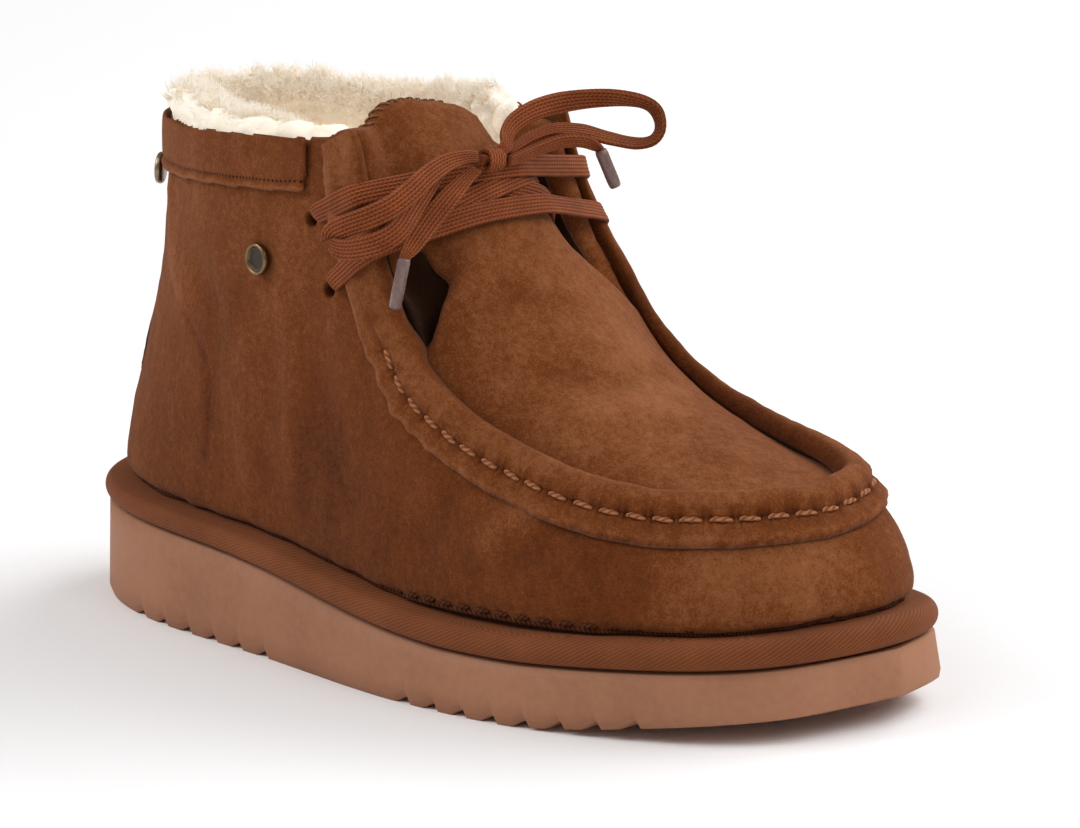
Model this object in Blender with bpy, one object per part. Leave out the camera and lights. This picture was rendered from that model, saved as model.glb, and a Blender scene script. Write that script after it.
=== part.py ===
"""Lace-up moccasin boot, right shoe: suede and fleece upper, rolled seam, bound midsole, foam outsole.

Every length below is in millimetres. X runs from the heel to the toe, Y towards the inner side of the
foot, Z up. The tables measure X from the back of the heel; the model is then centred on its base.
"""

import math

import bmesh
import bpy
from mathutils import Vector
from mathutils.bvhtree import BVHTree

MM = 0.001
GAP = 0.3  # between pieces that touch
CENTRE = Vector((141.0, -3.7, 0.0))  # middle of the sole's outline, which becomes the origin

WALL = 8.0  # suede and fleece together
APRON_SKEW = 0.8  # under 1, the apron is highest outside its middle
FEATHER = 5.5  # how far the upper stands inside the sole's edge
MIDSOLE_PROUD = 0.6
INSOLE_HEIGHT = 5.0

STATIONS = 16  # numbered from the middle of the heel (0) to the tip of the toe
THROAT_CORNER = 7
THROAT_BASE = 10
ROUND = 2 * STATIONS  # once round the shoe: outer side 0 to 16, inner side back from 16 to 32


def table(columns, *rows):
    """The named columns of a table, each as a list."""
    return dict(zip(columns.split(), map(list, zip(*rows))))


# The sole, a row for each station: where it is, its two edges, the heights of its deck and its tread,
# and how thick the bound midsole on the deck is.
SOLE = table(
    "along outer inner deck tread bead",
    (0, 2.8, 2.8, 26.2, 0.5, 6.2),
    (5, -14.0, 20.0, 26.2, 0.2, 6.2),
    (17, -28.0, 32.3, 26.2, 0, 6.3),
    (36, -38.6, 38.6, 26.1, 0, 6.5),
    (60, -44.7, 38.4, 25.8, 0, 6.7),
    (85, -47.3, 35.2, 25.0, 0, 6.9),
    (108, -49.3, 33.0, 23.1, 0, 7.2),
    (128, -51.7, 33.6, 20.8, 0, 7.5),
    (147, -54.0, 36.3, 18.6, 0, 7.7),
    (166, -55.3, 40.1, 16.8, 0, 7.9),
    (185, -55.0, 44.0, 15.7, 0, 8.0),
    (205, -53.1, 46.8, 15.7, 0.1, 8.0),
    (225, -48.9, 46.2, 16.5, 1.6, 8.0),
    (244, -42.4, 43.9, 17.4, 3.7, 8.0),
    (261, -32.9, 40.6, 18.1, 5.4, 8.0),
    (275, -16.5, 33.5, 18.7, 6.6, 8.0),
    (282, 13.0, 13.0, 19.1, 7.2, 8.0),
)

# The upper's top edge, a row for each station: collar (0-6), throat (7-9), seam of the apron (10-16).
# crown is how far the apron arches above its two edges.
TOP = table(
    "x_outer y_outer z_outer x_inner y_inner z_inner crown",
    (29.0, 1.0, 134.5, 29.0, 1.0, 134.5, 0),
    (32.0, -9.0, 134.5, 31.5, 11.0, 134.5, 0),
    (41.0, -18.5, 134.8, 40.0, 20.5, 134.8, 0),
    (55.0, -26.5, 135.2, 54.0, 27.5, 135.3, 0),
    (74.0, -34.0, 136.5, 74.0, 32.5, 136.3, 0),
    (97.0, -37.6, 138.0, 97.0, 34.0, 137.5, 0),
    (120.0, -38.0, 139.5, 120.0, 33.0, 139.5, 0),
    (140.0, -37.2, 142.8, 140.5, 31.5, 142.0, 0),
    (146.0, -37.2, 124.0, 146.5, 32.0, 126.5, 0),
    (153.5, -38.0, 104.0, 154.5, 33.5, 107.0, 0),
    (163.0, -38.5, 84.0, 167.5, 34.4, 87.4, 28.0),
    (177.0, -38.0, 71.0, 183.0, 35.4, 71.0, 26.0),
    (196.0, -36.5, 61.5, 202.5, 35.7, 62.2, 17.5),
    (218.0, -33.0, 54.5, 226.0, 35.2, 57.0, 11.5),
    (238.0, -26.5, 51.8, 243.5, 32.2, 55.3, 6.5),
    (254.0, -13.0, 51.2, 257.5, 24.0, 53.4, 2.8),
    (262.0, 6.0, 51.2, 262.0, 6.0, 51.2, 0),
)

# The wall between the sole and the top edge leaves the sole upwards by rise (a share of its height)
# and inwards by lean, and comes to the top edge from drop (a share) below it and shoulder outside it.
PROFILE = table(
    "station rise lean drop shoulder",
    (0, 0.22, 1.6, 0.54, 0.6),
    (3, 0.24, 1.2, 0.50, 0.8),
    (5, 0.28, 0.4, 0.40, 1.2),
    (7, 0.30, 0.0, 0.36, 1.4),
    (9, 0.32, -0.4, 0.30, 2.6),
    (10, 0.36, -0.8, 0.24, 4.6),
    (11, 0.42, -1.0, 0.18, 6.0),
    (13, 0.48, -0.8, 0.13, 7.2),
    (16, 0.46, -0.2, 0.10, 8.6),
)

# The tongue goes on from the apron's rear edge. Each row: its crest, its half width, how far its sides
# drop, how much the inner side hangs lower, and how far that side lies nearer the toe.
TONGUE = table(
    "x y z half_width side_drop tilt skew",
    (157.0, -3.4, 123.4, 23.2, 20.0, 2.4, 1.2),
    (150.0, -4.2, 131.0, 24.2, 21.0, 3.2, 0.8),
    (143.0, -5.0, 138.2, 24.0, 17.0, 3.8, 0.4),
    (138.0, -5.8, 143.6, 23.4, 12.0, 4.4, 0.0),
    (135.2, -6.6, 146.2, 21.6, 7.0, 4.2, 0.0),
    (134.2, -8.0, 147.2, 16.0, 3.0, 3.0, 0.0),
)
TONGUE_EDGES = (0.18, 0.74)  # where its sides leave the apron, as shares of the apron's width
TONGUE_OFFSET = Vector((-0.8, 0.0, 0.8))  # between the apron's rear edge and the tongue
TONGUE_WALL = 6.5
TONGUE_ARCH = 3.0  # power of its cross section: flat on top, steep at the sides

# The roll over the seam: how far it reaches down the wall and over the apron, and its height.
ROLL = table(
    "station down over height",
    (7, 11.5, 0.6, 2.6),
    (8, 15.0, 0.6, 3.0),
    (9, 13.5, 1.0, 3.4),
    (10, 13.0, 3.0, 4.2),
    (11, 10.4, 4.8, 5.0),
    (13, 8.4, 6.4, 6.2),
    (16, 8.0, 6.2, 6.2),
)
# Its cross section, from the apron's side down to the flange that is stitched to the wall.
ROLL_SECTION = table(
    "share height",
    (0.06, 0.62),
    (0.24, 0.97),
    (0.44, 1.0),
    (0.64, 0.74),
    (0.82, 0.44),
    (0.96, 0.34),
)

# The notches across the tread: the first one, their pitch and their number, under heel and forefoot.
NOTCHES = table("first pitch count", (49.2, 11.8, 6), (171.0, 10.2, 8))
# A notch rises slowly from the heel's side and drops steeply at the toe's side.
NOTCH_SHAPE = table("x height", (-3.8, 0.0), (-1.2, 1.5), (0.4, 1.9), (1.6, 0.0))
SOLE_FLARE = table("bottom top", (0.8, -1.0))  # how far its sides lean out from the outline
ARCH_HOLLOW = 2.0  # under the middle of the foot; the sole's side edges stay level

# Pieces sewn on the upper's outer face: their first and last place round the shoe, how far below the
# rim they begin and end, their thickness and the steps along them.
COLLAR_BAND = (6.15, -6.15, 0.0, 15.5, 1.4, 40)
HEEL_TAB = (1.35, -1.35, 58.5, 74.5, 1.2, 8)

STUD_RADIUS = 4.4
STUD_HEIGHT = 2.2
SIDE_STUD = Vector((103.0, -39.2, 105.0))
BACK_STUD = Vector((29.5, -12.5, 117.0))

# Where the lace goes through the upper, and the places in the middle that its bars lie over.
EYELETS = {
    "upper_outer": Vector((124.4, -39.0, 118.4)),
    "lower_outer": Vector((132.0, -40.2, 101.0)),
    "upper_inner": Vector((129.0, 35.0, 115.0)),
    "lower_inner": Vector((138.0, 36.5, 100.5)),
}
UPPER_BAR_OVER = Vector((152.5, -4.0, 127.4))
LOWER_BAR_OVER = Vector((160.6, -3.0, 118.1))
CROSSING_OVER = Vector((156.0, -3.0, 123.5))
LACE_WIDTH = 6.0
LACE_THICKNESS = 1.5
LACE_CLEARANCE = 0.7
CROSSING_ENDS = (-24.0, 12.0)  # between the two sides of the throat
CORD_RADIUS = 1.7
KNOT_RADIUS = 3.0
AGLET_RADIUS = 1.7

# The routes of the knot, the bow's two loops and the lace's two ends.
KNOT = [(160.8, -13.0, 133.2), (161.5, -9.2, 133.1), (161.8, -5.4, 132.6)]
LOOP_OUTER = [
    (158.3, -17.2, 134.0),
    (157.9, -21.5, 133.2),
    (157.6, -25.5, 130.8),
    (158.2, -30.5, 127.0),
    (160.2, -36.5, 123.6),
    (161.6, -42.0, 120.0),
    (160.0, -46.5, 117.4),
    (155.0, -50.0, 115.6),
    (149.0, -51.2, 115.0),
    (145.6, -51.4, 116.4),
    (146.6, -51.2, 119.0),
    (151.6, -50.4, 121.4),
    (157.2, -48.2, 123.6),
    (161.4, -44.0, 126.2),
    (162.2, -38.0, 129.2),
    (161.8, -31.5, 132.4),
    (161.0, -24.5, 134.4),
    (160.8, -18.0, 134.9),
    (161.1, -14.3, 134.4),
]
LOOP_INNER = [
    (160.9, -4.1, 135.6),
    (158.4, -1.5, 137.6),
    (157.0, 2.6, 140.2),
    (157.6, 9.0, 142.6),
    (159.4, 17.0, 143.8),
    (163.0, 24.0, 144.2),
    (167.6, 30.0, 143.8),
    (171.6, 35.0, 142.4),
    (173.0, 38.2, 139.6),
    (173.2, 39.2, 135.2),
    (171.2, 38.2, 131.8),
    (168.0, 35.0, 131.2),
    (164.8, 29.0, 133.2),
    (161.6, 22.0, 135.8),
    (159.8, 14.0, 137.0),
    (158.6, 8.0, 136.2),
]
END_OUTER = [
    (161.2, -14.5, 131.2),
    (161.4, -18.6, 129.2),
    (162.0, -25.6, 125.2),
    (162.0, -31.4, 121.0),
    (162.6, -36.6, 117.2),
    (163.2, -41.0, 113.8),
]
END_INNER = [
    (162.4, -4.8, 132.0),
    (162.2, 1.0, 132.7),
    (162.4, 7.1, 133.6),
    (163.4, 13.1, 134.5),
    (165.0, 19.3, 133.9),
    (165.6, 23.3, 131.9),
]
# An aglet's two ends.
AGLET_OUTER = [(163.2, -41.9, 112.8), (161.0, -44.2, 99.6)]
AGLET_INNER = [(165.9, 24.4, 130.9), (168.6, 26.9, 120.7)]


def clear_scene():
    for old in list(bpy.data.objects):
        bpy.data.objects.remove(old)


def collection_named(name):
    made = bpy.data.collections.new(name)
    bpy.context.scene.collection.children.link(made)
    return made


def material(name, colour, roughness, metallic=0.0):
    made = bpy.data.materials.new(name)
    made.use_nodes = True
    shader = made.node_tree.nodes["Principled BSDF"]
    shader.inputs["Base Color"].default_value = (*colour, 1.0)
    shader.inputs["Roughness"].default_value = roughness
    shader.inputs["Metallic"].default_value = metallic
    return made


def add_object(name, mesh, finish, collection):
    """Names a bmesh that is in millimetres, and puts it in the scene in metres, centred on its base."""
    for vertex in mesh.verts:
        vertex.co = (vertex.co - CENTRE) * MM
    data = bpy.data.meshes.new(name)
    mesh.to_mesh(data)
    mesh.free()
    data.materials.append(finish)
    data.shade_smooth()
    data.set_sharp_from_angle(angle=math.radians(50))
    made = bpy.data.objects.new(name, data)
    collection.objects.link(made)
    return made


# Curves through the tables


def gentle_slope(before, after):
    """Slope at a value between its neighbours, which never overshoots them."""
    if before * after <= 0:
        return 0.0
    return 2 * before * after / (before + after)


def smooth(values, position, closed=False):
    """The value at a position along evenly numbered values, on a smooth curve."""
    count = len(values)
    last = count if closed else count - 1
    first = min(int(math.floor(position)), last - 1)

    def value(index):
        if closed:
            return values[index % count]
        return values[max(0, min(count - 1, index))]

    v0, v1, v2, v3 = (value(first + step) for step in (-1, 0, 1, 2))
    slope1 = gentle_slope(v1 - v0, v2 - v1)
    slope2 = gentle_slope(v2 - v1, v3 - v2)
    u = position - first
    start = (1 + 2 * u) * (1 - u) ** 2
    end = u * u * (3 - 2 * u)
    return start * v1 + end * v2 + u * (1 - u) ** 2 * slope1 - u * u * (1 - u) * slope2


def at_station(columns, name, station):
    """A column of a table whose rows name their own stations."""
    rows = columns["station"]
    row = max(i for i in range(len(rows) - 1) if rows[i] <= max(station, rows[0]))
    row = min(row, len(rows) - 2)
    share = (station - rows[row]) / (rows[row + 1] - rows[row])
    return smooth(columns[name], row + max(0.0, min(1.0, share)))


def side_station(position):
    """The station at a position round the shoe, whichever side it is on."""
    position %= ROUND
    return min(position, ROUND - position)


def round_shoe(outer, inner):
    """One closed list: heel, outer side, toe, inner side back to the heel."""
    return outer + inner[-2:0:-1]


EDGE_X = round_shoe(SOLE["along"], SOLE["along"])
EDGE_Y = round_shoe(SOLE["outer"], SOLE["inner"])
TOP_X = round_shoe(TOP["x_outer"], TOP["x_inner"])
TOP_Y = round_shoe(TOP["y_outer"], TOP["y_inner"])
TOP_Z = round_shoe(TOP["z_outer"], TOP["z_inner"])


def sole_edge(position, outward=0.0):
    """A point of the sole's outline, moved outwards; its height is left at 0."""

    def point(where):
        where %= ROUND
        return Vector((smooth(EDGE_X, where, True), smooth(EDGE_Y, where, True), 0))

    step = 0.3
    along = point(position + step) - point(position - step)
    normal = Vector((along.y, -along.x, 0)).normalized()
    # the outer side is walked forwards with the foot on its left, so the way out is on the right
    return point(position) + normal * outward


def deck_height(position):
    return smooth(SOLE["deck"], side_station(position))


def midsole_top(position):
    return deck_height(position) + GAP + smooth(SOLE["bead"], side_station(position))


def top_edge(position):
    position %= ROUND
    return Vector(
        (
            smooth(TOP_X, position, True),
            smooth(TOP_Y, position, True),
            smooth(TOP_Z, position, True),
        )
    )


def wall_point(position, height_share):
    """A point on the upper's outer face, from the sole (0) to the top edge (1)."""
    station = side_station(position)
    foot = sole_edge(position, -FEATHER)
    foot.z = midsole_top(position) + GAP
    top = top_edge(position)
    outward = (sole_edge(position, 1.0) - sole_edge(position, 0.0)).normalized()
    height = Vector((0, 0, top.z - foot.z))
    handle_low = (
        foot
        + height * at_station(PROFILE, "rise", station)
        - outward * at_station(PROFILE, "lean", station)
    )
    handle_high = (
        top
        - height * at_station(PROFILE, "drop", station)
        + outward * at_station(PROFILE, "shoulder", station)
    )
    u, w = height_share, 1 - height_share
    return foot * w**3 + handle_low * 3 * u * w * w + handle_high * 3 * u * u * w + top * u**3


def apron_point(station, across):
    """A point on the apron, from its outer edge (0) to its inner edge (1)."""
    outer = top_edge(station)
    inner = top_edge(ROUND - station)
    crown = smooth(TOP["crown"], station)
    arch = 1 - abs(2 * across**APRON_SKEW - 1) ** 2.1
    return outer.lerp(inner, across) + Vector((0, 0, crown * arch))


# Meshes


def faces_between(mesh, row_a, row_b, closed=False):
    """Quads between two rows of vertices, and triangles where a side has shrunk to a point."""
    count = len(row_a)
    for i in range(count if closed else count - 1):
        k = (i + 1) % count
        corners = []
        for corner in (row_a[i], row_a[k], row_b[k], row_b[i]):
            if corner not in corners:
                corners.append(corner)
        if len(corners) > 2 and not mesh.faces.get(corners):
            mesh.faces.new(corners)


def row_of(mesh, points):
    return [mesh.verts.new(point) for point in points]


def strip_cap(mesh, ring):
    """Closes a ring of vertices with strips that run from its outer side to its inner side."""
    half = len(ring) // 2
    for i in range(half):
        corners = []
        for corner in (ring[i], ring[i + 1], ring[(-i - 1) % len(ring)], ring[-i % len(ring)]):
            if corner not in corners:
                corners.append(corner)
        if len(corners) > 2:
            mesh.faces.new(corners)


def stack(rings):
    """A closed solid from rings of points laid on each other, capped at both ends."""
    mesh = bmesh.new()
    rows = [row_of(mesh, ring) for ring in rings]
    for lower, upper in zip(rows, rows[1:]):
        faces_between(mesh, lower, upper, closed=True)
    strip_cap(mesh, rows[0])
    strip_cap(mesh, rows[-1])
    bmesh.ops.recalc_face_normals(mesh, faces=mesh.faces)
    return mesh


def sweep(sections):
    """A closed solid from like sections set one after another, with flat ends."""
    mesh = bmesh.new()
    rows = [row_of(mesh, section) for section in sections]
    for one, following in zip(rows, rows[1:]):
        faces_between(mesh, one, following, closed=True)
    mesh.faces.new(rows[0])
    mesh.faces.new(rows[-1])
    bmesh.ops.recalc_face_normals(mesh, faces=mesh.faces)
    return mesh


def thicken(mesh, thickness, relax, level=(), undercut=(), towards=None):
    """Gives an open surface an inner face along its smoothed normals, and joins the two at the rims.

    The vertices in level keep their own height, so the rim that they make is flat. Those in undercut
    have their inner face shifted towards a direction.
    """
    bmesh.ops.recalc_face_normals(mesh, faces=mesh.faces)
    mesh.normal_update()
    outer_verts = list(mesh.verts)
    outer_faces = list(mesh.faces)
    rim = [edge for edge in mesh.edges if edge.is_boundary]
    normals = {vertex: vertex.normal.copy() for vertex in outer_verts}
    for _ in range(relax):
        normals = {
            vertex: sum(
                (normals[edge.other_vert(vertex)] for edge in vertex.link_edges),
                normals[vertex] * 2,
            ).normalized()
            for vertex in outer_verts
        }
    for vertex in level:
        normals[vertex].z = 0
        normals[vertex].normalize()
    for vertex in undercut:
        normals[vertex] = (normals[vertex] - towards).normalized()
    inner = {vertex: mesh.verts.new(vertex.co - normals[vertex] * thickness) for vertex in outer_verts}
    for face in outer_faces:
        mesh.faces.new([inner[vertex] for vertex in reversed(face.verts)])
    for edge in rim:
        start, end = edge.verts
        mesh.faces.new((start, end, inner[end], inner[start]))
    bmesh.ops.recalc_face_normals(mesh, faces=mesh.faces)
    return mesh


# The pieces


def upper_face():
    """The outer face of the upper as an open surface, with the vertices of its lower edge and its collar."""
    around = 2 * ROUND
    levels = 11
    mesh = bmesh.new()
    rows = []
    for level in range(levels + 1):
        share = level / levels
        rows.append(row_of(mesh, [wall_point(i / 2, share) for i in range(around)]))
    for lower, upper in zip(rows, rows[1:]):
        faces_between(mesh, lower, upper, closed=True)
    rim = rows[-1]
    across = 10
    lines = []
    for i in range(2 * THROAT_BASE, 2 * STATIONS):
        inside = [apron_point(i / 2, k / across) for k in range(1, across)]
        lines.append([rim[i], *row_of(mesh, inside), rim[around - i]])
    for behind, ahead in zip(lines, lines[1:]):
        faces_between(mesh, behind, ahead)
    faces_between(mesh, lines[-1], [rim[2 * STATIONS]] * (across + 1))
    bmesh.ops.recalc_face_normals(mesh, faces=mesh.faces)
    collar = [rim[i] for i in range(around) if side_station(i / 2) < THROAT_CORNER]
    return mesh, rows[0] + collar


def make_upper(finish, collection):
    mesh, level = upper_face()
    return add_object("upper", thicken(mesh, WALL, relax=2, level=level), finish, collection)


def tongue_point(position, side):
    """A point on the tongue: position counts its table's rows, below 0 lies the joint with the apron."""
    row = max(0.0, position)
    x, y, z, half_width, drop, tilt, skew = (smooth(column, row) for column in TONGUE.values())
    height = z - drop * abs(side) ** TONGUE_ARCH - tilt * side
    point = Vector((x + skew * side, y + half_width * side, height))
    first, last = TONGUE_EDGES
    joint = apron_point(THROAT_BASE, first + (last - first) * (side + 1) / 2) + TONGUE_OFFSET
    return point.lerp(joint, -min(0.0, position))


def make_tongue(finish, collection):
    mesh = bmesh.new()
    steps, across = 11, 12
    last = len(TONGUE["x"]) - 1
    rows = []
    for step in range(steps + 1):
        position = step / steps * (last + 1) - 1
        sides = [math.sin(math.radians(-90 + 180 * k / across)) for k in range(across + 1)]
        rows.append(row_of(mesh, [tongue_point(position, side) for side in sides]))
    for one, following in zip(rows, rows[1:]):
        faces_between(mesh, one, following)
    thicken(mesh, TONGUE_WALL, relax=2, undercut=rows[0], towards=TONGUE_OFFSET.normalized())
    return add_object("tongue", mesh, finish, collection)


def station_at(x):
    """The station whose place along the sole is x."""
    low, high = 0.0, float(STATIONS)
    for _ in range(40):
        middle = (low + high) / 2
        if smooth(SOLE["along"], middle) < x:
            low = middle
        else:
            high = middle
    return (low + high) / 2


def tread_profile():
    """Rows of x, the height of the tread above its own ground line, and the arch's hollow there."""
    steps = [(smooth(SOLE["along"], step / 4), 0.0, 0.0) for step in range(1, 4 * STATIONS)]
    rows = []
    ends = []
    for first, pitch, count in zip(*NOTCHES.values()):
        ends.append((first + NOTCH_SHAPE["x"][0] - 1, first + (count - 1) * pitch + NOTCH_SHAPE["x"][-1] + 1))
        for notch in range(count):
            rows += [(first + notch * pitch + x, z, 0.0) for x, z in zip(*NOTCH_SHAPE.values())]
    rows += [row for row in steps if not any(start < row[0] < end for start, end in ends)]
    arch_start, arch_end = ends[0][1], ends[1][0]
    hollowed = []
    for x, z, _ in rows:
        share = (x - arch_start) / (arch_end - arch_start)
        hollow = ARCH_HOLLOW * math.sin(math.pi * share) if 0 < share < 1 else 0.0
        hollowed.append((x, z, hollow))
    return sorted(hollowed)


def make_outsole(finish, collection):
    """Slices across the foot: each has upright sides, rounded lower corners and maybe a hollow middle."""
    length = SOLE["along"][-1]
    corner = 2.0
    sections = []
    for x, lift, hollow in [(0.15, 0.0, 0.0), *tread_profile(), (length - 0.15, 0.0, 0.0)]:
        station = station_at(x)
        outer, inner = (smooth(SOLE[name], station) for name in ("outer", "inner"))
        ground = smooth(SOLE["tread"], station) + lift
        top = deck_height(station)
        width = inner - outer
        tuck = min(corner * 0.5, width / 6)
        sections.append(
            [
                Vector((x, outer, top)),
                Vector((x, outer, ground + corner)),
                Vector((x, outer + tuck, ground)),
                Vector((x, outer + width * 0.3, ground + hollow)),
                Vector((x, inner - width * 0.3, ground + hollow)),
                Vector((x, inner - tuck, ground)),
                Vector((x, inner, ground + corner)),
                Vector((x, inner, top)),
            ]
        )
    mesh = sweep(sections)
    for vertex in mesh.verts:
        middle = Vector((length / 2, (SOLE["outer"][8] + SOLE["inner"][8]) / 2, 0))
        out = vertex.co - middle
        share = vertex.co.z / deck_height(station_at(vertex.co.x))
        lean = SOLE_FLARE["bottom"][0] + (SOLE_FLARE["top"][0] - SOLE_FLARE["bottom"][0]) * share
        vertex.co += Vector((out.x / (length / 2), out.y / 48, 0)) * lean
    return add_object("outsole", mesh, finish, collection)


def make_midsole(finish, collection):
    around = 2 * ROUND
    rings = []
    for step in range(7):
        angle = math.radians(-90 + 30 * step)
        ring = []
        for i in range(around):
            bottom = deck_height(i / 2) + GAP
            radius = (midsole_top(i / 2) - bottom) / 2
            point = sole_edge(i / 2, MIDSOLE_PROUD - radius + radius * math.cos(angle))
            point.z = bottom + radius + radius * math.sin(angle)
            ring.append(point)
        rings.append(ring)
    return add_object("midsole", stack(rings), finish, collection)


def make_insole(finish, collection):
    around = ROUND
    inset = -(FEATHER + WALL + 1.6)
    rings = []
    for outward, height in ((inset - 1.0, 0.0), (inset, 1.2), (inset, 3.8), (inset - 1.2, INSOLE_HEIGHT)):
        ring = []
        for i in range(around):
            point = sole_edge(float(i), outward)
            point.z = midsole_top(float(i)) + GAP + height
            ring.append(point)
        rings.append(ring)
    return add_object("insole", stack(rings), finish, collection)


def wall_at_height(position, height):
    """The point of the wall that is at a height."""
    low, high = 0.0, 1.0
    for _ in range(20):
        middle = (low + high) / 2
        if wall_point(position, middle).z < height:
            low = middle
        else:
            high = middle
    return wall_point(position, high)


def make_overlay(name, measures, face, finish, collection):
    """A thin piece that follows the upper's outer face between two places and two heights."""
    first, last, top, bottom, thickness, steps = measures
    levels = 3
    sections = []
    for step in range(steps + 1):
        position = first + (last - first) * step / steps
        rim = top_edge(position).z
        under, over = [], []
        for level in range(levels + 1):
            height = rim - top - (bottom - top) * level / levels
            spot, normal, _, _ = face.find_nearest(wall_at_height(position, height))
            flat = Vector((normal.x, normal.y, 0)).normalized()
            under.append(spot + flat * (GAP + 0.1))
            bulge = thickness * (0.75 if level in (0, levels) else 1.0)
            over.append(spot + flat * (GAP + 0.1 + bulge))
        sections.append(under + over[::-1])
    return add_object(name, sweep(sections), finish, collection)


def make_stud(name, place, stand_off, face, finish, collection):
    """A round stud with a raised rim and a dished head."""
    spot, normal, _, _ = face.find_nearest(place)
    frame = normal.to_track_quat("Z", "Y")
    rings = []
    for radius, height in (
        (STUD_RADIUS, 0),
        (STUD_RADIUS, STUD_HEIGHT * 0.6),
        (STUD_RADIUS * 0.86, STUD_HEIGHT),
        (STUD_RADIUS * 0.7, STUD_HEIGHT),
        (STUD_RADIUS * 0.62, STUD_HEIGHT * 0.65),
    ):
        ring = []
        for k in range(24):
            angle = math.radians(15 * k)
            offset = Vector((radius * math.cos(angle), radius * math.sin(angle), height + stand_off))
            ring.append(spot + frame @ offset)
        rings.append(ring)
    return add_object(name, stack(rings), finish, collection)


def make_seam_roll(face, finish, collection):
    """A roll that follows the seam from one throat corner round the toe to the other."""
    first, last = THROAT_CORNER + 0.05, ROUND - THROAT_CORNER - 0.05
    steps = 60
    sections = []
    for step in range(steps + 1):
        position = first + (last - first) * step / steps
        station = side_station(position)
        down, over, height = (at_station(ROLL, name, station) for name in ("down", "over", "height"))
        seam = top_edge(position)
        ahead = top_edge(position + (0.4 if position < STATIONS else -0.4))
        _, normal, _, _ = face.find_nearest(seam.lerp(wall_point(position, 0.8), 0.3))
        inward = normal.cross(ahead - seam).normalized()
        if inward.dot(seam - wall_point(position, 0.9)) < 0:
            inward.negate()
        base = []
        for share in (1.0, 0.75, 0.5, 0.25, 0.0):
            spot, away, _, _ = face.find_nearest(seam - inward * down * share)
            base.append(spot + (away + normal).normalized() * (GAP + 0.25))
        beyond = seam + inward * over
        if station > THROAT_BASE - 0.5:
            spot, away, _, _ = face.find_nearest(beyond)
            beyond = spot + away * (GAP + 0.6)
        else:
            beyond += normal * GAP
        base.append(beyond)
        top = []
        for share, rise in zip(*ROLL_SECTION.values()):
            top.append(base[-1].lerp(base[0], share) + normal * height * rise)
        sections.append(base + top)
    return add_object("seam_roll", sweep(sections), finish, collection)


def tree_of(made):
    """The faces of an object, in millimetres, to measure against."""
    points = [vertex.co / MM + CENTRE for vertex in made.data.vertices]
    return BVHTree.FromPolygons(points, [list(polygon.vertices) for polygon in made.data.polygons])


def taut_line(trees, start, over, end):
    """The line of a lace pulled tight round the trees' faces, as rows of a point and its way out.

    It lies in the plane of its two ends and the point that it goes over.
    """
    middle = (start + end) / 2
    along = (end - start).normalized()
    out = (over - middle) - along * (over - middle).dot(along)
    out.normalize()
    across = along.cross(out)
    steps, reach = 72, 150.0
    rim = []
    for step in range(steps + 1):
        angle = math.pi * (1 - step / steps)
        ray = along * math.cos(angle) + out * math.sin(angle)
        radius = 0.0
        for side in (-0.5, -0.25, 0.0, 0.25, 0.5):
            origin = middle + across * LACE_WIDTH * side + ray * reach
            for tree in trees:
                hit, _, _, distance = tree.ray_cast(origin, -ray)
                if hit:
                    radius = max(radius, reach - distance)
        if radius > 0:
            rim.append(Vector((radius * math.cos(angle), radius * math.sin(angle))))
    hull = []
    for corner in rim:
        while len(hull) > 1:
            turn = (hull[-1] - hull[-2]).cross(corner - hull[-1])
            if turn < 0:
                break
            hull.pop()
        hull.append(corner)
    spread = even_steps(hull, 3.0)
    line = []
    for i, corner in enumerate(spread):
        way = (spread[min(i + 1, len(spread) - 1)] - spread[max(i - 1, 0)]).normalized()
        normal = Vector((-way.y, way.x))
        place = corner + normal * (LACE_CLEARANCE + LACE_THICKNESS / 2)
        line.append((middle + along * place.x + out * place.y, along * normal.x + out * normal.y))
    return line, across


def even_steps(corners, step):
    """Points about a step apart along a line of corners, its two ends among them."""
    lengths = [(b - a).length for a, b in zip(corners, corners[1:])]
    count = max(2, round(sum(lengths) / step))
    points = []
    for k in range(count + 1):
        left = sum(lengths) * k / count
        i = 0
        while i < len(lengths) - 1 and left > lengths[i]:
            left -= lengths[i]
            i += 1
        points.append(corners[i].lerp(corners[i + 1], min(1.0, left / lengths[i])))
    return points


def make_ribbon(name, line, across, finish, collection):
    """A flat lace along a line: the section keeps its flat side towards what it lies on."""
    half = across * LACE_WIDTH / 2
    sections = []
    for point, out in line:
        lift = out * LACE_THICKNESS / 2
        under = [point - half - lift, point + half - lift]
        sections.append(under + [point + half + lift, point - half + lift])
    return add_object(name, sweep(sections), finish, collection)


def join(kept, added):
    """Joins a solid to another that it crosses; the added one is removed."""
    union = kept.modifiers.new("join", "BOOLEAN")
    union.operation = "UNION"
    union.solver = "EXACT"
    union.object = added
    bpy.context.view_layer.update()
    evaluated = kept.evaluated_get(bpy.context.evaluated_depsgraph_get())
    joined = bpy.data.meshes.new_from_object(evaluated)
    kept.modifiers.remove(union)
    kept.data = joined
    bpy.data.objects.remove(added)


def make_cord(name, route, radius, finish, collection):
    """A plain tube through the points of a route."""
    curve = bpy.data.curves.new(name, "CURVE")
    curve.dimensions = "3D"
    curve.bevel_depth = radius * MM
    curve.bevel_resolution = 2
    curve.use_fill_caps = True
    spline = curve.splines.new("POLY")
    spline.points.add(len(route) - 1)
    for point, place in zip(spline.points, route):
        point.co = (*((Vector(place) - CENTRE) * MM), 1.0)
    curve.materials.append(finish)
    made = bpy.data.objects.new(name, curve)
    collection.objects.link(made)
    return made


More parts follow.
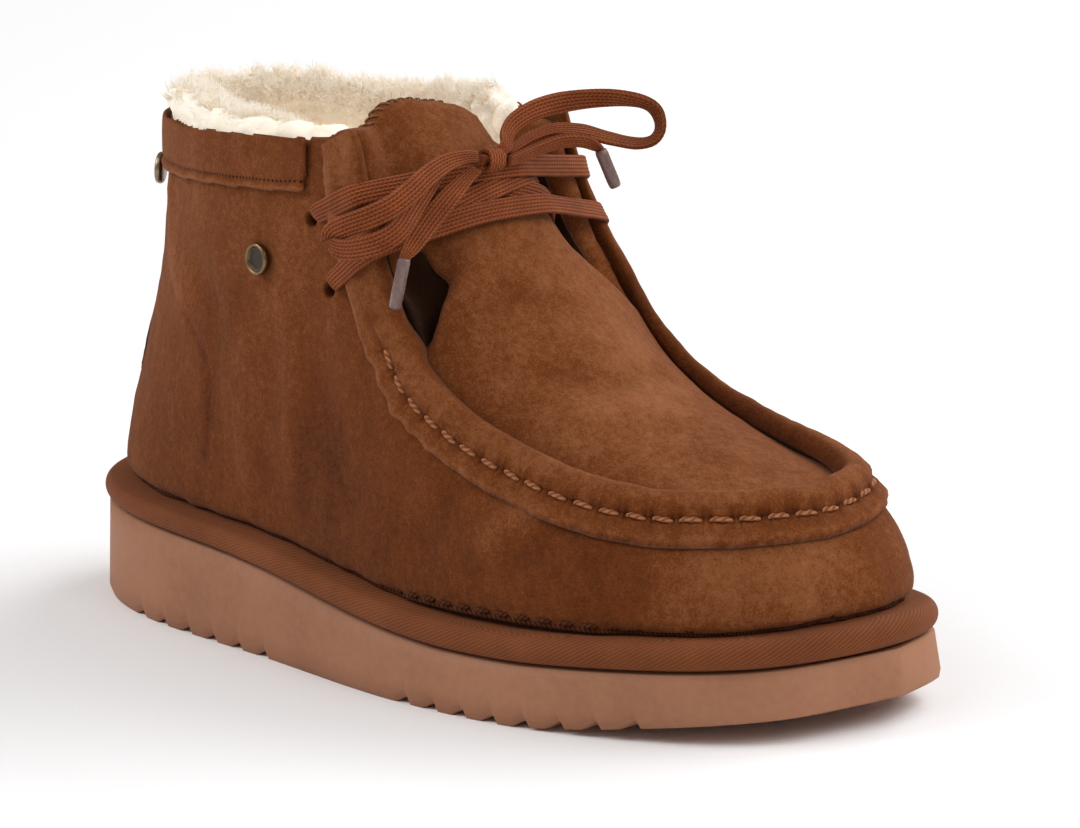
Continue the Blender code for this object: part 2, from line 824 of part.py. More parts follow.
def make_aglet(name, ends, finish, collection):
    start, end = (Vector(place) for place in ends)
    frame = (end - start).to_track_quat("Z", "Y")
    length = (end - start).length
    rings = []
    for share, size in ((0, 0.9), (0.06, 1.0), (0.94, 1.0), (1, 0.8)):
        ring = []
        for k in range(16):
            angle = math.radians(22.5 * k)
            around = Vector((math.cos(angle), math.sin(angle), 0.0)) * AGLET_RADIUS * size
            ring.append(start + frame @ (around + Vector((0.0, 0.0, length * share))))
        rings.append(ring)
    return add_object(name, stack(rings), finish, collection)


clear_scene()
shoe = collection_named("moccasin_boot")

suede = material("suede", (0.25, 0.095, 0.035), 0.9)
binding = material("binding_fabric", (0.20, 0.075, 0.028), 0.85)
foam = material("foam", (0.36, 0.16, 0.09), 0.6)
fleece = material("fleece", (0.80, 0.72, 0.60), 0.95)
braid = material("lace_braid", (0.32, 0.09, 0.025), 0.8)
brass = material("aged_brass", (0.25, 0.17, 0.09), 0.4, 0.9)
plastic = material("aglet_plastic", (0.45, 0.36, 0.33), 0.3)

outer_face, _ = upper_face()
surface = BVHTree.FromBMesh(outer_face)
outer_face.free()

make_outsole(foam, shoe)
make_midsole(binding, shoe)
make_insole(fleece, shoe)
make_upper(suede, shoe)
tongue = make_tongue(suede, shoe)
make_overlay("collar_band", COLLAR_BAND, surface, suede, shoe)
make_overlay("heel_tab", HEEL_TAB, surface, suede, shoe)
seam_roll = make_seam_roll(surface, suede, shoe)
make_stud("side_stud", SIDE_STUD, GAP, surface, brass, shoe)
make_stud("back_stud", BACK_STUD, 2 * GAP + 0.1 + COLLAR_BAND[4], surface, brass, shoe)

tongue_tree = tree_of(tongue)
crossings = []
for name, first, last in (
    ("lace_crossing", "upper_outer", "lower_inner"),
    ("lace_crossing_under", "lower_outer", "upper_inner"),
):
    line, across = taut_line([tongue_tree], EYELETS[first], CROSSING_OVER, EYELETS[last])
    inside = [row for row in line if CROSSING_ENDS[0] < row[0].y < CROSSING_ENDS[1]]
    crossings.append(make_ribbon(name, inside, across, braid, shoe))
join(*crossings)

around = [surface, tongue_tree, tree_of(seam_roll), tree_of(crossings[0])]
for name, height, over in (("upper", "upper", UPPER_BAR_OVER), ("lower", "lower", LOWER_BAR_OVER)):
    line, across = taut_line(around, EYELETS[height + "_outer"], over, EYELETS[height + "_inner"])
    make_ribbon("lace_bar_" + name, line, across, braid, shoe)

make_cord("lace_knot", KNOT, KNOT_RADIUS, braid, shoe)
make_cord("lace_loop_outer", LOOP_OUTER, CORD_RADIUS, braid, shoe)
make_cord("lace_loop_inner", LOOP_INNER, CORD_RADIUS, braid, shoe)
make_cord("lace_end_outer", END_OUTER, CORD_RADIUS, braid, shoe)
make_cord("lace_end_inner", END_INNER, CORD_RADIUS, braid, shoe)
make_aglet("aglet_outer", AGLET_OUTER, plastic, shoe)
make_aglet("aglet_inner", AGLET_INNER, plastic, shoe)
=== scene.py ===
"""A right moccasin boot of chestnut suede with a fleece lining, a tied flat lace and a foam sole."""

import bisect
import math
import random

import bmesh
import bpy
from mathutils import Matrix, Vector, noise
from mathutils.bvhtree import BVHTree


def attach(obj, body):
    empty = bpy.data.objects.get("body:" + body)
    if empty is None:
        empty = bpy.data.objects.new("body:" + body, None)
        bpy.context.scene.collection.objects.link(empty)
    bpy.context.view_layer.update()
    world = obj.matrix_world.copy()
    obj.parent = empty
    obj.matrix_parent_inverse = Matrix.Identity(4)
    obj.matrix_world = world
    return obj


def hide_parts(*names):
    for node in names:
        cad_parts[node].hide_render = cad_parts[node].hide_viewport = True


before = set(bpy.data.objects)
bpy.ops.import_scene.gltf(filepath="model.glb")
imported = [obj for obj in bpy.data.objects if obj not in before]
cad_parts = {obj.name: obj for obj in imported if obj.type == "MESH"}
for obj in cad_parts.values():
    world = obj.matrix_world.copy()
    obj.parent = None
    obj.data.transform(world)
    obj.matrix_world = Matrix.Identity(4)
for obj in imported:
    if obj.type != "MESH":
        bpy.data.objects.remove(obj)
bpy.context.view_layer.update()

# The stand for looking at the boot: a long lens from the outer front quarter, looking down a little,
# a plain pale floor that glows far off, and five soft panels of light.
def new_finish(name):
    """A new material, and its node tree."""
    made = bpy.data.materials.new(name)
    made.use_nodes = True
    return made, made.node_tree


def fill_in(tree, filled, inputs):
    """Sets or links some of a node's inputs."""
    for name, value in inputs.items():
        if isinstance(value, bpy.types.NodeSocket):
            tree.links.new(value, filled.inputs[name])
        else:
            filled.inputs[name].default_value = value


def node(tree, kind, inputs=None, **settings):
    """A shader node with its settings, its inputs set or linked."""
    made = tree.nodes.new("ShaderNode" + kind)
    for name, value in settings.items():
        setattr(made, name, value)
    fill_in(tree, made, inputs or {})
    return made


def coat(tree, inputs):
    """Sets or links inputs of a material's surface."""
    fill_in(tree, tree.nodes["Principled BSDF"], inputs)


camera_data = bpy.data.cameras.new("camera")
camera_data.lens = 200.0
camera_data.sensor_width = 36.0
camera_data.clip_end = 20.0
camera = bpy.data.objects.new("camera", camera_data)
bpy.context.scene.collection.objects.link(camera)
camera_right = Vector((0.67542, 0.73638, -0.03941))
camera_back = Vector((0.72458, -0.65276, 0.22112))
camera_axes = Matrix((camera_right, camera_back.cross(camera_right), camera_back)).transposed()
camera.matrix_world = Matrix.Translation((1.15137, -1.01153, 0.40888)) @ camera_axes.to_4x4()
bpy.context.scene.camera = camera
bpy.context.scene.view_settings.view_transform = "Standard"

floor_mesh = bmesh.new()
bmesh.ops.create_grid(floor_mesh, x_segments=2, y_segments=2, size=6.0)
floor_data = bpy.data.meshes.new("floor")
floor_mesh.to_mesh(floor_data)
floor_mesh.free()
floor = bpy.data.objects.new("floor", floor_data)
bpy.context.scene.collection.objects.link(floor)
floor_paint, floor_tree = new_finish("floor_paint")
floor_spot = node(floor_tree, "TexCoord").outputs["Object"]
far_off = node(floor_tree, "VectorMath", {0: floor_spot}, operation="LENGTH").outputs["Value"]
GLOW_FROM, GLOW_FULL, GLOW = 0.6, 2.1, 0.7
glow = node(
    floor_tree, "MapRange", {"Value": far_off, "From Min": GLOW_FROM, "From Max": GLOW_FULL, "To Max": GLOW}
)
coat(floor_tree, {"Base Color": (0.92, 0.92, 0.93, 1.0), "Roughness": 0.7, "Specular IOR Level": 0.1})
coat(floor_tree, {"Emission Color": (1.0, 1.0, 1.0, 1.0), "Emission Strength": glow.outputs["Result"]})
floor_data.materials.append(floor_paint)

surroundings = bpy.data.worlds.new("studio")
surroundings.use_nodes = True
backdrop = surroundings.node_tree.nodes["Background"]
fill_in(surroundings.node_tree, backdrop, {"Color": (0.97, 0.98, 1.0, 1.0), "Strength": 0.32})
bpy.context.scene.world = surroundings
LIGHTS_AIM = Vector((0.02, 0.0, 0.06))
for name, place, size, power, tint in (
    ("heel_light", (-0.75, -0.82, 0.95), 0.8, 10.5, (1.0, 0.98, 0.95)),
    ("front_light", (0.05, -0.8, 1.25), 0.6, 1.8, (1.0, 0.98, 0.95)),
    ("toe_light", (1.15, 0.06, 0.95), 0.8, 5.5, (1.0, 0.98, 0.96)),
    ("inner_light", (0.75, 0.82, 0.95), 0.8, 8.0, (1.0, 0.99, 0.98)),
    ("back_light", (0.0, 1.15, 0.95), 0.8, 10.0, (1.0, 0.99, 0.98)),
):
    light_data = bpy.data.lights.new(name, "AREA")
    light_data.size = size
    light_data.energy = power
    light_data.color = tint
    light = bpy.data.objects.new(name, light_data)
    light.location = place
    light.rotation_mode = "QUATERNION"
    light.rotation_quaternion = (Vector(place) - LIGHTS_AIM).to_track_quat("Z", "Y")
    bpy.context.scene.collection.objects.link(light)

# The lace: a flat braid of rust cotton, 6 mm wide, that comes out of punched holes in the upper, crosses
# over the tongue, and is tied in a bow. Its ribs run along it, and its threads lie in a herringbone.
LACE_WIDTH = 0.006
LACE_THICKNESS = 0.0014
LACE_RIBS = 6
LACE_STEP = 0.0011
RIB_HEIGHT = 0.00016


def sums(tree, operation, first, second=0.0, third=0.0):
    """One sum worked out by a shader node, on up to three numbers or sockets."""
    return node(tree, "Math", {0: first, 1: second, 2: third}, operation=operation).outputs[0]


def colours(tree, share, *stops):
    """A colour ramp over a share from 0 to 1. Each stop is its place and its red, green and blue."""
    ramp = node(tree, "ValToRGB", {"Fac": share})
    while len(ramp.color_ramp.elements) < len(stops):
        ramp.color_ramp.elements.new(0.5)
    for element, (place, *colour) in zip(ramp.color_ramp.elements, stops):
        element.position = place
        element.color = (*colour, 1.0)
    return ramp.outputs["Color"]


def speckle(tree, place, scale, detail=3.0, roughness=0.55):
    """Noise from 0 to 1 at a place, in a number of lumps to the metre."""
    made = node(
        tree, "TexNoise", {"Vector": place, "Scale": scale, "Detail": detail, "Roughness": roughness}
    )
    return made.outputs["Fac"]


def bumps(tree, height, strength, depth):
    """Which way a surface faces with bumps of some height on it."""
    return node(tree, "Bump", {"Height": height, "Strength": strength, "Distance": depth}).outputs["Normal"]


def braid_finish():
    made, tree = new_finish("rust_braid")
    spot = node(tree, "TexCoord")
    cut = node(tree, "SeparateXYZ", {"Vector": spot.outputs["UV"]})
    column = sums(tree, "MULTIPLY", cut.outputs["Y"], 2.0 * LACE_RIBS)
    rib = sums(tree, "ABSOLUTE", sums(tree, "SINE", sums(tree, "MULTIPLY", column, math.pi)))
    side = sums(
        tree, "SUBTRACT",
        sums(tree, "MULTIPLY", sums(tree, "FRACT", sums(tree, "MULTIPLY", column, 0.5)), 2.0), 1.0,
    )
    lean = sums(tree, "ABSOLUTE", side)
    slant = sums(tree, "MULTIPLY", lean, 6.0)
    thread = sums(tree, "SINE", sums(tree, "MULTIPLY_ADD", cut.outputs["X"], 5200.0, slant))
    height = sums(tree, "MULTIPLY_ADD", thread, 0.28, rib)
    fuzz = speckle(tree, spot.outputs["Object"], 2600.0)
    patch = speckle(tree, spot.outputs["Object"], 160.0)
    # The crowns of the ribs and threads are painted lighter and their grooves darker, a painted shade over
    # the braid's relief.
    shade = sums(tree, "MULTIPLY_ADD", height, 0.32, sums(tree, "MULTIPLY_ADD", patch, 0.35, 0.04))
    shade = sums(tree, "MULTIPLY_ADD", fuzz, 0.25, shade)
    colour = colours(
        tree, shade, (0.12, 0.040, 0.0075, 0.0016), (0.5, 0.150, 0.0310, 0.0058), (0.95, 0.40, 0.115, 0.032)
    )
    bump = bumps(tree, sums(tree, "MULTIPLY_ADD", fuzz, 0.4, height), 0.6, 0.0002)
    coat(tree, {"Base Color": colour, "Normal": bump, "Roughness": 0.8, "Specular IOR Level": 0.2})
    coat(tree, {"Sheen Weight": 0.08, "Sheen Roughness": 0.4, "Sheen Tint": (1.0, 0.6, 0.35, 1.0)})
    return made


def add_piece(name, mesh, finish, slot, *nodes, close=True):
    """Puts a mesh in the scene as a piece of the boot that stands for some of the frame's nodes."""
    if close:
        bmesh.ops.recalc_face_normals(mesh, faces=mesh.faces)
    data = bpy.data.meshes.new(name)
    mesh.to_mesh(data)
    mesh.free()
    data.materials.append(finish)
    data.shade_smooth()
    made = bpy.data.objects.new(name, data)
    bpy.context.scene.collection.objects.link(made)
    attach(made, "root")
    if nodes:
        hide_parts(*nodes)
    return made


def places(*corners):
    """The places with these coordinates, in metres."""
    return [Vector(corner) for corner in corners]


def curve_through(knots, step):
    """Points an even step apart on a smooth curve through some places."""
    ends = [2 * knots[0] - knots[1], *knots, 2 * knots[-1] - knots[-2]]
    dense = []
    for before, start, end, after in zip(ends, ends[1:], ends[2:], ends[3:]):
        for k in range(24):
            t = k / 24
            bend = (2 * start + (end - before) * t + (2 * before - 5 * start + 4 * end - after) * t * t)
            dense.append((bend + (3 * start - before - 3 * end + after) * t**3) / 2)
    dense.append(knots[-1])
    reach = [0.0]
    for a, b in zip(dense, dense[1:]):
        reach.append(reach[-1] + (b - a).length)
    count = max(2, round(reach[-1] / step))
    points, i = [], 0
    for k in range(count + 1):
        goal = reach[-1] * k / count
        while i < len(reach) - 2 and reach[i + 1] < goal:
            i += 1
        points.append(dense[i].lerp(dense[i + 1], (goal - reach[i]) / (reach[i + 1] - reach[i])))
    return points


def softened(line):
    """A line with each point but the ends drawn a little towards its neighbours."""
    inner = [(a + b * 2 + c) / 4 for a, b, c in zip(line, line[1:], line[2:])]
    return [line[0]] + inner + [line[-1]]


def blend_along(values, share):
    """The value at a share of the way along an even list."""
    place = share * (len(values) - 1)
    i = min(int(place), len(values) - 2)
    return values[i] + (values[i + 1] - values[i]) * (place - i)


def loft(mesh, sections, reaches):
    """A closed tube through rings of points, with its length in metres and its way round as its UV map."""
    around = len(sections[0])
    skin = bmesh.ops.create_grid(mesh, x_segments=around, y_segments=len(sections) - 1)["verts"]
    flow = {}
    for index, vertex in enumerate(skin):
        row, column = divmod(index, around + 1)
        vertex.co = sections[row][column % around]
        flow[vertex] = (reaches[row], column / around)
    mapped = mesh.loops.layers.uv.verify()
    for vertex, place in flow.items():
        for loop in vertex.link_loops:
            loop[mapped].uv = place
    seam = [vertex for vertex, place in flow.items() if place[1] in (0.0, 1.0)]
    bmesh.ops.remove_doubles(mesh, verts=seam, dist=1e-7)
    skin = {vertex for vertex in skin if vertex.is_valid}
    rims = [edge for edge in mesh.edges if edge.is_boundary and edge.verts[0] in skin]
    bmesh.ops.holes_fill(mesh, edges=rims)


def add_ribbon(mesh, line, edge_ways, widths=(1.0, 1.0), wave=0.0):
    """Sweeps the braid along a line. edge_ways point across it from place to place, widths scale it."""
    count = 4 * LACE_RIBS
    profile = []
    for side in (1, -1):
        for k in range(count):
            share = k / count
            edge = max(0.0, 1 - abs(2 * share - 1) ** 5) ** 0.5
            rib = abs(math.sin(share * LACE_RIBS * math.pi)) - 0.5
            profile.append((side * (share - 0.5), side * edge * (LACE_THICKNESS / 2 + RIB_HEIGHT * rib)))
    sections, reaches = [], [0.0]
    for before, after in zip(line, line[1:]):
        reaches.append(reaches[-1] + (after - before).length)
    for i, point in enumerate(line):
        share = i / (len(line) - 1)
        way = (line[min(i + 1, len(line) - 1)] - line[max(i - 1, 0)]).normalized()
        across = blend_along(edge_ways, share)
        across = (across - way * across.dot(way)).normalized()
        out = way.cross(across)
        width = LACE_WIDTH * blend_along(widths, share)
        cup = wave * math.sin(reaches[i] * 210.0 + 1.0)
        sections.append(
            [
                point + across * width * place + out * (height + cup * (4 * place * place - 0.35))
                for place, height in profile
            ]
        )
    loft(mesh, sections, reaches)
    return reaches[-1]


def pulled_tight(trees, start, over, end):
    """The line of a lace pulled tight from one place to another round some faces, and its way across."""
    middle = (start + end) / 2
    along = (end - start).normalized()
    out = (over - middle) - along * (over - middle).dot(along)
    out.normalize()
    across = along.cross(out)
    hull = []
    for step in range(91):
        angle = math.pi * (1 - step / 90)
        ray = along * math.cos(angle) + out * math.sin(angle)
        radius = 0.0
        for side in (-0.45, -0.2, 0.0, 0.2, 0.45):
            origin = middle + across * LACE_WIDTH * side + ray * 0.15
            for tree in trees:
                hit, _, _, distance = tree.ray_cast(origin, -ray)
                if hit:
                    radius = max(radius, 0.15 - distance)
        if radius <= 0:
            continue
        corner = Vector((radius * math.cos(angle), radius * math.sin(angle)))
        while len(hull) > 1 and (hull[-1] - hull[-2]).cross(corner - hull[-1]) >= 0:
            hull.pop()
        hull.append(corner)
    points = curve_through([middle + along * corner.x + out * corner.y for corner in hull], LACE_STEP)
    for _ in range(12):
        points = softened(points)
    lifted = []
    for i, point in enumerate(points):
        way = (points[min(i + 1, len(points) - 1)] - points[max(i - 1, 0)]).normalized()
        lifted.append(point + across.cross(way) * LACE_THICKNESS * 0.85)
    return lifted, across


def tree_of(*names):
    """Each node's faces, to measure against."""
    trees = []
    for name in names:
        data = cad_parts[name].data
        corners = [vertex.co for vertex in data.vertices]
        trees.append(BVHTree.FromPolygons(corners, [face.vertices[:] for face in data.polygons]))
    return trees


braid = braid_finish()
eyelets = {
    "upper_outer": Vector((-0.0166, -0.0353, 0.1184)),
    "lower_outer": Vector((-0.0090, -0.0365, 0.1010)),
    "upper_inner": Vector((-0.0120, 0.0387, 0.1150)),
    "lower_inner": Vector((-0.0030, 0.0402, 0.1005)),
}
CROSSING_OVER = Vector((0.0150, 0.0007, 0.1235))

crossing_mesh = bmesh.new()
for first, last, lift in (("upper_outer", "lower_inner", 0.0), ("lower_outer", "upper_inner", 0.0011)):
    line, across = pulled_tight(tree_of("tongue"), eyelets[first], CROSSING_OVER, eyelets[last])
    line = [point + Vector((lift, 0.0, lift)) for point in line if -0.027 < point.y < 0.024]
    add_ribbon(crossing_mesh, line, [across, across], wave=0.0002)
add_piece("lace_under_crossing", crossing_mesh, braid, "lace_braid", "lace_crossing")

around = tree_of("upper", "tongue", "seam_roll", "lace_crossing")
for height, over, turns in (
    ("upper", Vector((0.0115, -0.0003, 0.1274)), (0.9, 0.35, 0.1, 0.0, -0.1, 0.0, 0.2)),
    ("lower", Vector((0.0196, 0.0007, 0.1181)), (0.5, 0.2, 0.0, 0.0, 0.15, 0.1, 0.2)),
):
    start, end = eyelets[height + "_outer"], eyelets[height + "_inner"]
    line, across = pulled_tight(around, start, over, end)
    inward = (Vector((0.0, 0.0, 0.105)) - start).normalized()
    line = [start + Vector((-0.0006, 0.0035, -0.0006))] + line + [end + Vector((-0.0006, -0.0035, -0.0006))]
    line = curve_through([line[0]] + line[4:-4:6] + [line[-1]], LACE_STEP)
    rise = (over - (start + end) / 2).normalized()
    edge_ways = [across + rise * turn for turn in turns]
    bar_mesh = bmesh.new()
    widths = (0.42, 0.92, 1.04, 1.05) + (1.0,) * 10 + (0.95, 0.7, 0.5)
    add_ribbon(bar_mesh, line, edge_ways, widths, wave=0.00025)
    add_piece(f"lace_{height}_bar", bar_mesh, braid, "lace_braid", f"lace_bar_{height}")

camera_up = camera_back.cross(camera_right)


def facing(right, up, back):
    """A direction seen from the stand: to the right, up and towards it."""
    return camera_right * right + camera_up * up + camera_back * back


# The knot is the lace wound once and a half round itself. The two loops and the two ends come out of
# it, and each end has an aglet, a clear sheath pressed on the braid.
knot_line = places((0.0198, -0.0093, 0.1332), (0.0205, -0.0055, 0.1331), (0.0208, -0.0017, 0.1326))
knot_axis = (knot_line[2] - knot_line[0]).normalized()
knot_side = knot_axis.cross(Vector((0, 0, 1))).normalized()
knot_up = knot_side.cross(knot_axis)
knot_mesh = bmesh.new()
winding = []
WINDING_STEPS = 59
for k in range(WINDING_STEPS + 1):
    turn = 2.0 + 9.4 * k / WINDING_STEPS
    reach = knot_axis * (0.0018 * (k / WINDING_STEPS - 0.5)) + knot_line[1]
    size = 0.0024 + 0.0005 * math.sin(turn * 0.5)
    winding.append(reach + (knot_side * math.cos(turn) * 1.05 + knot_up * math.sin(turn)) * size)
add_ribbon(
    knot_mesh, winding, [knot_axis + knot_up * 0.2, knot_axis - knot_up * 0.25], (0.6, 0.8, 0.8, 0.62),
    wave=0.0003,
)
add_ribbon(knot_mesh, curve_through(knot_line, LACE_STEP), [knot_up, knot_side, knot_up], (0.55, 0.6, 0.55))
knot = add_piece("lace_bow_knot", knot_mesh, braid, "lace_braid", "lace_knot")

LACE_ENDS = {
    "outer": (
        [
            (0.0202, -0.0108, 0.1312), (0.0204, -0.0149, 0.1292), (0.0210, -0.0219, 0.1252),
            (0.0210, -0.0277, 0.1210), (0.0216, -0.0329, 0.1172), (0.0222, -0.0373, 0.1138),
            (0.0222, -0.0382, 0.1128), (0.0211, -0.0394, 0.1062), (0.0200, -0.0405, 0.0998),
        ],
        [facing(0.85, -0.4, 0.3), facing(0.85, -0.4, 0.1), facing(0.9, -0.3, -0.2), facing(0.8, -0.2, 0.6)],
        (0.55, 0.75, 0.95, 1.0, 0.95, 0.8, 0.36, 0.3, 0.3),
        13.4,
    ),
    "inner": (
        [
            (0.0214, -0.0011, 0.1320), (0.0212, 0.0047, 0.1327), (0.0214, 0.0108, 0.1336),
            (0.0224, 0.0168, 0.1345), (0.0240, 0.0230, 0.1339), (0.0246, 0.0270, 0.1319),
            (0.0249, 0.0281, 0.1309), (0.0262, 0.0293, 0.1258), (0.0276, 0.0306, 0.1209),
        ],
        [facing(-0.2, 0.6, 0.8), facing(0.0, 0.6, 0.8), facing(0.5, 0.7, 0.6), facing(0.8, 0.2, 0.6)],
        (0.5, 0.7, 0.8, 0.85, 0.85, 0.7, 0.36, 0.3, 0.3),
        10.6,
    ),
}
sheath_finish, sheath_tree = new_finish("clear_sheath")
sheath_spot = node(sheath_tree, "TexCoord")
haze = speckle(sheath_tree, sheath_spot.outputs["Object"], 900.0)
tint = colours(sheath_tree, haze, (0.2, 0.24, 0.140, 0.118), (0.8, 0.36, 0.235, 0.210))
coat(sheath_tree, {"Base Color": tint, "Transmission Weight": 0.45, "Roughness": 0.16, "IOR": 1.46})

for side, (route, edge_ways, widths, sheath_length) in LACE_ENDS.items():
    line = curve_through(places(*route), LACE_STEP)
    end_mesh = bmesh.new()
    length = add_ribbon(end_mesh, line, edge_ways, widths, wave=0.0003)
    lace_end = add_piece(f"lace_{side}_end", end_mesh, braid, "lace_braid", f"lace_end_{side}")
    top, tip = Vector(route[-3]), Vector(route[-1])
    turned = (tip - top).to_track_quat("Z", "Y").to_matrix().to_4x4()
    sheath_mesh = bmesh.new()
    rim = bmesh.ops.create_circle(sheath_mesh, segments=24, radius=0.0013)
    edges = list(sheath_mesh.edges)
    for rise, radius in (
        (0.0002, 0.00155),
        (0.0012, 0.0017),
        (0.004, 0.00166),
        (0.0085, 0.00168),
        (sheath_length * 0.001 - 0.0006, 0.0016),
        (sheath_length * 0.001, 0.00125),
        (sheath_length * 0.001 - 0.0003, 0.0010),
    ):
        grown = bmesh.ops.extrude_edge_only(sheath_mesh, edges=edges)["geom"]
        edges = [item for item in grown if isinstance(item, bmesh.types.BMEdge) and item.is_boundary]
        verts = [item for item in grown if isinstance(item, bmesh.types.BMVert)]
        for vertex in verts:
            flat = Vector((vertex.co.x, vertex.co.y, 0.0)).normalized() * radius
            vertex.co = (flat.x, flat.y, rise)
    bmesh.ops.holes_fill(sheath_mesh, edges=[edge for edge in sheath_mesh.edges if edge.is_boundary])
    bmesh.ops.transform(sheath_mesh, matrix=Matrix.Translation(top) @ turned, verts=sheath_mesh.verts)
    sheath = add_piece(f"aglet_sheath_{side}", sheath_mesh, sheath_finish, "aglet_plastic", f"aglet_{side}")


LACE_LOOPS = {
    "outer": (
        [
            (0.0173, -0.0135, 0.1340), (0.0169, -0.0178, 0.1332), (0.0166, -0.0218, 0.1308),
            (0.0172, -0.0268, 0.1270), (0.0192, -0.0328, 0.1236), (0.0206, -0.0383, 0.1200),
            (0.0190, -0.0428, 0.1174), (0.0140, -0.0463, 0.1156), (0.0080, -0.0475, 0.1150),
            (0.0046, -0.0477, 0.1164), (0.0056, -0.0475, 0.1190), (0.0106, -0.0467, 0.1214),
            (0.0162, -0.0445, 0.1236), (0.0204, -0.0403, 0.1262), (0.0212, -0.0343, 0.1292),
            (0.0208, -0.0278, 0.1324), (0.0200, -0.0208, 0.1344), (0.0198, -0.0143, 0.1349),
            (0.0201, -0.0106, 0.1344),
        ],
        [
            facing(-0.6, 0.6, 0.5),
            facing(-0.8, 0.45, 0.4),
            facing(-0.45, 0.9, 0.2),
            facing(-0.35, 0.93, 0.1),
            facing(-0.5, 0.85, 0.15),
            facing(-0.8, 0.5, 0.3),
            facing(-0.5, 0.7, 0.4),
        ],
    ),
    "inner": (
        [
            (0.0195, -0.0035, 0.1340), (0.0199, -0.0004, 0.1356), (0.0174, 0.0022, 0.1376),
            (0.0160, 0.0063, 0.1402), (0.0166, 0.0127, 0.1426), (0.0184, 0.0207, 0.1438),
            (0.0220, 0.0277, 0.1442), (0.0266, 0.0337, 0.1438), (0.0306, 0.0387, 0.1424),
            (0.0320, 0.0419, 0.1396), (0.0322, 0.0429, 0.1352), (0.0302, 0.0419, 0.1318),
            (0.0270, 0.0387, 0.1312), (0.0238, 0.0327, 0.1332), (0.0206, 0.0257, 0.1358),
            (0.0188, 0.0177, 0.1370), (0.0176, 0.0117, 0.1362), (0.0180, 0.0065, 0.1350),
            (0.0190, 0.0010, 0.1335),
        ],
        [
            facing(-0.8, 0.5, 0.3),
            facing(-0.6, 0.75, 0.3),
            facing(-0.1, 0.9, 0.4),
            facing(0.05, 0.72, 0.7),
            facing(0.45, 0.2, 0.85),
            facing(0.15, -0.5, 0.85),
            facing(-0.05, -0.6, 0.8),
            facing(0.1, -0.5, 0.85),
            facing(0.2, -0.45, 0.85),
        ],
    ),
}
for side, (route, edge_ways) in LACE_LOOPS.items():
    line = curve_through(places(*route), LACE_STEP)
    loop_mesh = bmesh.new()
    widths = (0.5, 0.85, 1.0, 1.0, 0.95, 1.0, 1.0, 0.85, 0.5)
    length = add_ribbon(loop_mesh, line, edge_ways, widths, wave=0.00035)
    loop = add_piece(f"lace_{side}_loop", loop_mesh, braid, "lace_braid", f"lace_loop_{side}")


def solid_of(*names):
    """A mesh of some nodes, their loose triangles joined again into quads."""
    mesh = bmesh.new()
    for name in names:
        mesh.from_mesh(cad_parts[name].data)
    bmesh.ops.remove_doubles(mesh, verts=mesh.verts, dist=2e-6)
    bmesh.ops.join_triangles(mesh, faces=mesh.faces, angle_face_threshold=0.7, angle_shape_threshold=3.1)
    mesh.normal_update()
    return mesh


def sharpen(mesh, angle, hold):
    """Keeps a mesh's sharp edges when it is subdivided."""
    layer = mesh.edges.layers.float.get("crease_edge") or mesh.edges.layers.float.new("crease_edge")
    for edge in mesh.edges:
        if len(edge.link_faces) == 2 and edge.calc_face_angle() > angle:
            edge[layer] = hold


def subdivide(piece, levels):
    """Rounds a piece by splitting its faces a number of times."""
    finer = piece.modifiers.new("subdivision", "SUBSURF")
    finer.levels = levels
    finer.render_levels = levels


# The outsole: one block of moulded salmon-tan foam, wide and thick, with grooves moulded across the
# tread under heel and forefoot. Its skin is matt, with a fine pebble, and speckled darker over its lowest 6
# mm.
def foam_finish():
    made, tree = new_finish("moulded_foam")
    spot = node(tree, "TexCoord").outputs["Object"]
    cloud = speckle(tree, spot, 22.0)
    pebble = speckle(tree, spot, 1500.0, 2.0)
    grain = speckle(tree, spot, 420.0, 4.0)
    height = node(tree, "SeparateXYZ", {"Vector": spot}).outputs["Z"]
    # Darker towards the bottom, speckled with the grain.
    low = node(
        tree, "MapRange",
        {"Value": height, "From Min": 0.0, "From Max": 0.006, "To Min": 0.22, "To Max": 0.0},
    )
    shade = sums(tree, "MULTIPLY_ADD", grain, 0.35, sums(tree, "MULTIPLY", cloud, 0.65))
    shade = sums(tree, "SUBTRACT", shade, sums(tree, "MULTIPLY", low.outputs["Result"], grain))
    colour = colours(
        tree, shade, (0.25, 0.25, 0.104, 0.052), (0.52, 0.33, 0.147, 0.078), (0.8, 0.39, 0.182, 0.100)
    )
    bump = bumps(tree, sums(tree, "MULTIPLY_ADD", grain, 0.8, pebble), 0.35, 0.00015)
    rough = node(tree, "MapRange", {"Value": grain, "To Min": 0.5, "To Max": 0.72}).outputs["Result"]
    coat(tree, {"Base Color": colour, "Normal": bump, "Roughness": rough, "Specular IOR Level": 0.25})
    return made


sole_mesh = solid_of("outsole")
sharpen(sole_mesh, 0.3, 1.0)
sole = add_piece("foam_outsole", sole_mesh, foam_finish(), "foam", "outsole")
subdivide(sole, 2)

# The bead between the sole and the upper: a round filler wrapped in a cotton twill tape. The twill's
# ridges run slantwise along it, and the upper is stitched down into the crease behind it.
def widest_line(mesh):
    """The line round the bead where it stands out most, and the length run along it to each corner."""
    line = [
        vertex.co.copy()
        for vertex in mesh.verts
        if abs(vertex.normal.z) < 0.2 and vertex.normal.xy.dot(vertex.co.xy) > 0
    ]
    line.sort(key=lambda place: math.atan2(place.y, place.x))
    line.append(line[0])
    lengths = [0.0]
    for a, b in zip(line, line[1:]):
        lengths.append(lengths[-1] + (b - a).length)
    return line, lengths


def length_at(place, line, lengths):
    """How far along a line the spot nearest a place is."""
    best = None
    for k, (a, b) in enumerate(zip(line, line[1:])):
        share = min(max((place - a).dot(b - a) / (b - a).length_squared, 0.0), 1.0)
        off = (place - a.lerp(b, share)).length
        if best is None or off < best[0]:
            best = off, lengths[k] + (lengths[k + 1] - lengths[k]) * share
    return best[1]


